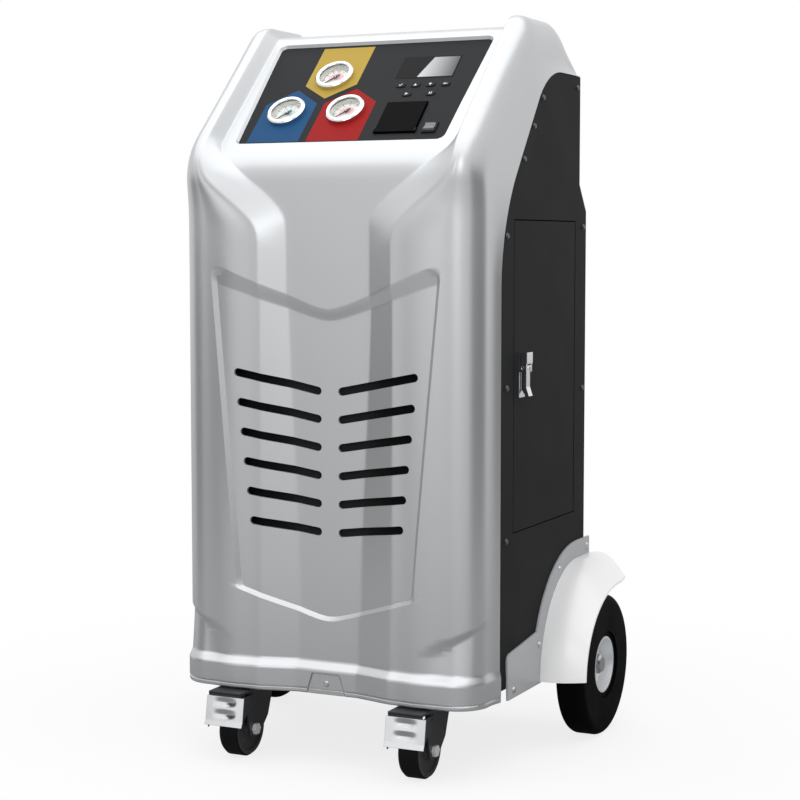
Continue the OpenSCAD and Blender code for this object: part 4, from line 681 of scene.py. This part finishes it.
def plateSolid(outline, a, b, axis):
    # Closed outline carried straight along an axis.
    n = len(outline)
    points = np.concatenate([np.insert(np.asarray(outline, float), axis, at, axis=1) for at in (a, b)])
    return points, [list(range(n))[::-1], list(range(n, 2 * n)), *gridFaces(2, n, wrap=True).tolist()]


def circle(y, z, r, n):
    return (y, z) + r * around(np.linspace(0, 2 * np.pi, n, endpoint=False))


def aroundEye(corners, r, middle, n=96, perEdge=40):
    # The outline's distance from a point inside it, read at even angles, so that it pairs with a round hole.
    ring = roundRing(corners, r)
    pairs = zip(ring, np.roll(ring, -1, 0))
    away = np.concatenate([np.linspace(p, q, perEdge, endpoint=False) for p, q in pairs]) - middle
    angle = np.arctan2(away[:, 1], away[:, 0])
    order = np.argsort(angle)
    a = np.linspace(-np.pi, np.pi, n, endpoint=False)
    far = np.interp(a, angle[order], np.hypot(*away.T)[order], period=2 * np.pi)
    turn = around(a)
    return middle + far[:, None] * turn, turn


def pedalPlate(t):
    # Bent sheet, t behind its face: two straight stretches down, pressed back in cells by
    # dish cos^2(u) (1 - cos(2 pi cell)) / 2.
    u, v = 2 * evenly(pedal["cols"]) - 1, evenly(pedal["rows"]).T
    z = mix(pedal["top"], pedal["low"], v)
    y = np.interp(z, [pedal["low"], pedal["knee"], pedal["top"]],
                  [pedal["lowY"], pedal["kneeY"], pedal["topY"]])
    down = np.clip((pedal["top"] - z) / (pedal["top"] - pedal["knee"]), 0, 1)
    across = np.cos(np.pi / 2 * np.clip(u / pedal["dishHalf"], -1, 1)) ** 2
    pressed = pedal["dish"] * across * (1 - np.cos(2 * np.pi * pedal["cells"] * down)) / 2
    return np.stack(np.broadcast_arrays(u * pedal["half"], y + pressed + t, z), -1)


def joined(solids):
    # Several closed solids as one list of points and faces.
    starts = np.cumsum([0] + [len(points) for points, _ in solids[:-1]])
    faces = [[int(i + start) for i in face] for (_, loops), start in zip(solids, starts) for face in loops]
    return np.concatenate([points for points, _ in solids]), faces


def outward(made):
    # Turns every closed solid of a piece to face out.
    work = bmesh.new()
    work.from_mesh(made.data)
    bmesh.ops.recalc_face_normals(work, faces=work.faces)
    work.to_mesh(made.data)
    work.free()


def casterFork():
    # Legs, crown, neck, tongue, its lip and the pedal's pins, then the bolt and nuts.
    top, under, legOut = caster["top"], caster["top"] - caster["sheet"], caster["legIn"] + caster["sheet"]
    toe, heel, foot = caster["legFoot"]
    front, back = caster["legTop"]
    leg = roundRing([[toe, foot], [heel, foot], caster["legHeel"], [back, top], [front, top],
                     [front, caster["legToe"]]], caster["round"])
    crown = [circle(0, caster["swivel"], caster[r], 72) for r in ("crown", "king")]
    ends = {legOut: caster["neck"], caster["tongueX"]: (caster["tongueFront"], pedal["pinY"])}
    plates = [[[-x, near], [x, near], [x, far], [-x, far]] for x, (near, far) in ends.items()]
    lipFront, lipLow, lipHigh = caster["tongueFront"], top - caster["tongueLip"], under + caster["lipOver"]
    lipBack = lipFront + caster["lipSheet"]
    lip = [[lipFront, lipLow], [lipBack, lipLow], [lipBack, lipHigh], [lipFront, lipHigh]]
    pin = circle(pedal["pinY"], pedal["pinZ"], caster["pin"], 24)
    bolt, nut = circle(0, caster["axle"], caster["bolt"], 32), circle(0, caster["axle"], caster["nut"], 6)
    dark = [plateSolid(leg, s * caster["legIn"], s * legOut, 0) for s in (-1, 1)]
    dark += [ringSolid(*crown, under, top, 2), *(plateSolid(plate, under, top, 2) for plate in plates)]
    dark += [plateSolid(lip, -caster["tongueX"], caster["tongueX"], 0)]
    dark += [plateSolid(pin, s * legOut, s * caster["nutOut"], 0) for s in (-1, 1)]
    bright = [plateSolid(bolt, -caster["boltOut"], caster["boltOut"], 0)]
    bright += [plateSolid(nut, s * legOut, s * caster["nutOut"], 0) for s in (-1, 1)]
    return dark, bright


def brakePedal():
    # The plate first, then a flange at each side with the pin's eye at its end and a hook at its foot.
    points, faces = closedShell(pedalPlate(0.0), pedalPlate(pedal["wall"]))
    eye = np.array([pedal["pinY"], pedal["pinZ"]])
    end, r = pedal["pinY"] + pedal["eye"], pedal["eye"]
    corners = [pedal["hook"], pedal["heel"], [end, eye[1] - r], [end, eye[1] + r], pedal["flangeTop"],
               pedal["flangeKnee"]]
    outer, turn = aroundEye(corners, pedal["flangeRound"], eye)
    hole = eye + (caster["pin"] + caster["pinGap"]) * turn
    flanges = [ringSolid(outer, hole, s * pedal["flangeIn"], s * pedal["flangeOut"], 0) for s in (-1, 1)]
    return [(points, faces.tolist())], flanges


casterPieces = [
    ("pressed_fork_", "caster_swivel_", forkPaint, boltZinc, casterFork(), "frame_paint", "caster_fork_"),
    ("bent_pedal_", "brake_", pedalZinc, forkPaint, brakePedal(), "bright_chrome", "caster_pedal_")]
for sideName, sign in (("left", -1), ("right", 1)):
    for name, body, mainFinish, otherFinish, (main, other), slot, stands in casterPieces:
        points, faces = joined(main + other)
        made = makePiece(name + sideName, points + (sign * caster["x"], 0, 0), faces, mainFinish,
                         body + sideName, slot, stands=[stands + sideName])
        made.data.materials.append(otherFinish)
        isOther = np.arange(len(faces)) >= sum(len(loops) for _, loops in main)
        made.data.polygons.foreach_set("material_index", isOther.astype(np.int32))
        outward(made)
print("casters drawn")

# Printed fields round the gauges: from a circle out to the edge of a five-sided field
field = dict(hole=25.5, perEdge=24, n=0.06)
gauges = [
    dict(name="low", x=-101.0, s=64.5, film=blueFilm, tint=tealPrint, up=-1, low=4.0, shoulder=82.0,
         point=111.5, half=39.5),
    dict(name="high", x=-11.0, s=64.5, film=redFilm, tint=pinkPrint, up=-1, low=4.0, shoulder=82.0,
         point=110.5, half=39.0),
    dict(name="tank", x=-54.0, s=138.0, film=yellowFilm, tint=pinkPrint, up=1, low=201.0, shoulder=120.0,
         point=92.0, half=39.6)]


def flatPrint(name, points, faces, material, body="cabinet", n=field["n"]):
    # Print on the panel's plane, n above its face.
    return makePiece(name, onPanel(points[:, 0], points[:, 1], n), faces, material, body, "panel_print")


for g in gauges:
    left, right = g["x"] - g["half"], g["x"] + g["half"]
    edge = np.array([[left, g["low"]], [right, g["low"]], [right, g["shoulder"]], [g["x"], g["point"]],
                     [left, g["shoulder"]]])
    loop = np.concatenate([np.linspace(p, q, field["perEdge"], endpoint=False)
                           for p, q in zip(edge, np.roll(edge, -1, 0))])
    inner = (g["x"], g["s"]) + unit(loop - (g["x"], g["s"])) * field["hole"]
    faces = gridFaces(2, len(loop), wrap=True, flip=g["up"] > 0)
    flatPrint("printed_field_" + g["name"], np.concatenate([inner, loop]), faces, g["film"])
# Dials: ticks, numbers and a tinted band on the enamel; the scale runs clockwise over 270 degrees
dial = dict(n=-2.94, rim=20.8, ticks=40, step=5, longTick=5.0, shortTick=3.4, thick=0.8, thin=0.45,
            start=225.0, sweep=270.0, band=(3.0, 11.4), bandPoints=61, numberAt=13.7, numberHigh=2.7,
            numberUp=0.04)


def scaleAngle(f):
    return np.radians(dial["start"] - dial["sweep"] * f)


def numberShape(text):
    # Outline of a number in a plain built-in face, filled, about the middle.
    curve = bpy.data.curves.new("number", "FONT")
    curve.body, curve.size, curve.align_x, curve.align_y = text, dial["numberHigh"], "CENTER", "CENTER"
    holder = addObject("number", curve)
    flat = asMesh(holder)
    points = np.empty(len(flat.vertices) * 3)
    flat.vertices.foreach_get("co", points)
    faces = [list(f.vertices) for f in flat.polygons]
    bpy.data.objects.remove(holder)
    return points.reshape(-1, 3)[:, :2], faces


for g in gauges:
    middle = np.array([g["x"], g["s"]])
    i = np.arange(dial["ticks"] + 1)
    major = i % dial["step"] == 0
    a = scaleAngle(i / dial["ticks"])
    out = around(a)
    over = out[:, ::-1] * (-1, 1)
    wide = np.where(major, dial["thick"], dial["thin"])[:, None] / 2
    foot = (dial["rim"] - np.where(major, dial["longTick"], dial["shortTick"]))[:, None]
    ticks = np.stack([out * foot - over * wide, out * dial["rim"] - over * wide,
                      out * dial["rim"] + over * wide, out * foot + over * wide], 1).reshape(-1, 2)
    flatPrint("dial_ticks_" + g["name"], middle + ticks, np.arange(len(ticks)).reshape(-1, 4), blackPrint,
              n=dial["n"])
    a = scaleAngle(evenly(dial["bandPoints"])[0])
    ring = np.concatenate([r * around(a) for r in dial["band"]])
    flatPrint("dial_band_" + g["name"], middle + ring, gridFaces(2, len(a)), g["tint"], n=dial["n"])
    numbers = []
    for k in range(0, dial["ticks"] + 1, dial["step"]):
        shape, loops = numberShape(str(k))
        a = scaleAngle(k / dial["ticks"])
        numbers.append((middle + shape + dial["numberAt"] * around(a), loops))
    flatPrint("dial_numbers_" + g["name"], *joined(numbers), blackPrint, n=dial["n"] + dial["numberUp"])
print("dials printed")

# Painted reflection on the display, with a slanting edge, and plain signs on the keys
screen = dict(lowX=72.0, highX=86.0, right=124.0, low=130.5, high=171.5, n=0.24, rows=5, cols=9)
r, f = np.meshgrid(evenly(screen["rows"])[0], evenly(screen["cols"])[0], indexing="ij")
x = mix(mix(screen["lowX"], screen["highX"], r), screen["right"], f)
points = np.stack([x, mix(screen["low"], screen["high"], r)], -1).reshape(-1, 2)
flatPrint("display_painted_reflection", points, gridFaces(*x.shape), paintedDisplayReflection, n=screen["n"])
keySigns = dict(n=1.24, upperRow=113.5, lowerRow=95.0, backScale=0.8, backShift=1.6, pauseHalf=1.3)
triangle = np.array([[-2.0, -2.3], [2.4, 0.0], [-2.0, 2.3]])
bar = np.array([[-0.6, -2.1], [0.6, -2.1], [0.6, 2.1], [-0.6, 2.1]])
tick = [[[-2.6, 0.2], [-1.9, 0.9], [-0.8, -0.3], [-0.8, -1.7]],
        [[-0.8, -1.7], [-0.8, -0.3], [2.2, 2.5], [2.9, 1.8]]]
arrow = [-triangle * keySigns["backScale"] - (keySigns["backShift"], 0),
         [[-0.2, -0.5], [3.4, -0.5], [3.4, 0.5], [-0.2, 0.5]]]
signs = {
    "enter": ((54, keySigns["upperRow"]), tick),
    "up": ((76, keySigns["upperRow"]), [triangle @ np.array([[0, 1], [-1, 0]])]),
    "down": ((98, keySigns["upperRow"]), [triangle @ np.array([[0, -1], [1, 0]])]),
    "back": ((120, keySigns["upperRow"]), arrow),
    "start": ((69, keySigns["lowerRow"]), [triangle]),
    "pause": ((104, keySigns["lowerRow"]), [bar + (s * keySigns["pauseHalf"], 0) for s in (-1, 1)])}
for name, (at, shapes) in signs.items():
    solids = [(np.asarray(q, float) + at, [range(len(q))]) for q in shapes]
    flatPrint("key_sign_" + name, *joined(solids), whitePrint, "key_" + name + "_body", keySigns["n"])
print("panel print drawn")

# Studio: a white sweep to the eye and to reflections, with painted shade in the floor's reflection close to
# the machine, soft lights, and two dark cards beside the machine; distances are in metres
studio = dict(fill=0.55, white=1.0, floor="#f2f2f2", floorHalf=9.0, shadowFrom=0.3, shadowTo=1.1,
              shadowLeast=0.8, glossShadeNear=0.1, glossFar=0.62, glossFrom=0.3, glossTo=1.6, card="#242426",
              cardRough=0.9, cardLow=0.02)


def seenDirectly(tree):
    # 1 for rays from the eye, from gloss and through glass, 0 for light bounced off matt surfaces.
    path = addNode(tree, "LightPath").outputs
    either = addNode(tree, "Math", {0: path["Is Camera Ray"], 1: path["Is Glossy Ray"]},
                     operation="MAXIMUM")
    return addNode(tree, "Math", {0: either.outputs[0], 1: path["Is Transmission Ray"]},
                   operation="MAXIMUM").outputs[0]


world = bpy.data.worlds.new("studio")
bpy.context.scene.world = world
tree = emptyTree(world)
white = addNode(tree, "Background", {"Color": (1, 1, 1, 1), "Strength": studio["white"]})
fill = addNode(tree, "Background", {"Color": (1, 1, 1, 1), "Strength": studio["fill"]})
sky = addNode(tree, "MixShader",
              {"Fac": seenDirectly(tree), 1: fill.outputs[0], 2: white.outputs[0]})
addNode(tree, "OutputWorld", {"Surface": sky.outputs[0]})

floorFinish = bpy.data.materials.new("pale studio floor")
tree = emptyTree(floorFinish)
place = addNode(tree, "TexCoord").outputs["Object"]
far = addNode(tree, "VectorMath", {0: place}, operation="LENGTH").outputs["Value"]
# Near the machine a share of the floor stays matt, so that it keeps a faint shadow.
share = ranged(tree, far, studio["shadowFrom"], studio["shadowTo"], studio["shadowLeast"])
part = addNode(tree, "Math", {0: seenDirectly(tree), 1: share}, operation="MULTIPLY")
matte = addNode(tree, "BsdfDiffuse", {"Color": linear(studio["floor"])})
# In gloss the floor is darker close by, painted shade round the machine, which gives the folds of the shell
# their contrast.
inGloss = ranged(tree, far, studio["glossFrom"], studio["glossTo"], studio["glossShadeNear"], studio["glossFar"])
isEye = addNode(tree, "LightPath").outputs["Is Camera Ray"]
toEye = ranged(tree, isEye, 0.0, 1.0, inGloss, studio["white"])
glow = addNode(tree, "Emission", {"Color": (1, 1, 1, 1), "Strength": toEye})
mixed = addNode(tree, "MixShader",
                {"Fac": part.outputs[0], 1: matte.outputs[0], 2: glow.outputs[0]})
addNode(tree, "OutputMaterial", {"Surface": mixed.outputs[0]})
cardFinish = surface("dark studio card", studio["card"], studio["cardRough"])


def stagePlate(name, points, material):
    # One quad of the studio, points in metres.
    made = meshObject(name, points, [(0, 1, 2, 3)])
    made.data.materials.append(material)
    return made


half, low = studio["floorHalf"], studio["cardLow"]
stagePlate("floor", [(-half, -half, 0), (half, -half, 0), (half, half, 0), (-half, half, 0)], floorFinish)
cards = {"left card": ((-1.6, -0.5), (-1.0, -1.4), 0.8), "right card": ((1.7, -1.0), (2.3, 1.6), 1.05)}
for name, (a, b, high) in cards.items():
    card = stagePlate(name, [(*a, low), (*b, low), (*b, high), (*a, high)], cardFinish)
    card.visible_camera = card.visible_diffuse = card.visible_shadow = False


def softbox(name, at, target, size, power):
    # Area light at a point in metres, facing a target.
    data = bpy.data.lights.new(name, "AREA")
    data.shape, data.size, data.size_y, data.energy = "RECTANGLE", size[0], size[1], power
    made = addObject(name, data)
    made.location = at
    aim = np.subtract(target, at)
    down = math.acos(aim[2] / -np.linalg.norm(aim))
    made.rotation_euler = (down, 0, math.atan2(aim[1], aim[0]) - math.pi / 2)


lights = dict(target=(0, 0, 0.6), topAt=(0.0, -0.4, 3.0), topSize=(5.0, 4.4), topWatts=82,
              frontAt=(0.5, -3.2, 1.6), frontSize=(1.6, 1.2), frontWatts=14)
softbox("top softbox", lights["topAt"], lights["target"], lights["topSize"], lights["topWatts"])
softbox("front softbox", lights["frontAt"], lights["target"], lights["frontSize"], lights["frontWatts"])

# Camera: ahead and to the right of the machine, a little above its middle, angles in radians
view = dict(lens=85.8, sensor=36.0, x=1.1624, y=-2.2335, z=0.7015, down=0.0826, turn=0.4419)
cameraData = bpy.data.cameras.new("camera")
cameraData.lens, cameraData.sensor_width = view["lens"], view["sensor"]
camera = addObject("camera", cameraData)
camera.location = (view["x"], view["y"] + axleLine / 1000, view["z"])
camera.rotation_euler = (math.pi / 2 - view["down"], 0, view["turn"])
bpy.context.scene.camera = camera
bpy.context.scene.view_settings.view_transform = "Standard"
print("studio set")
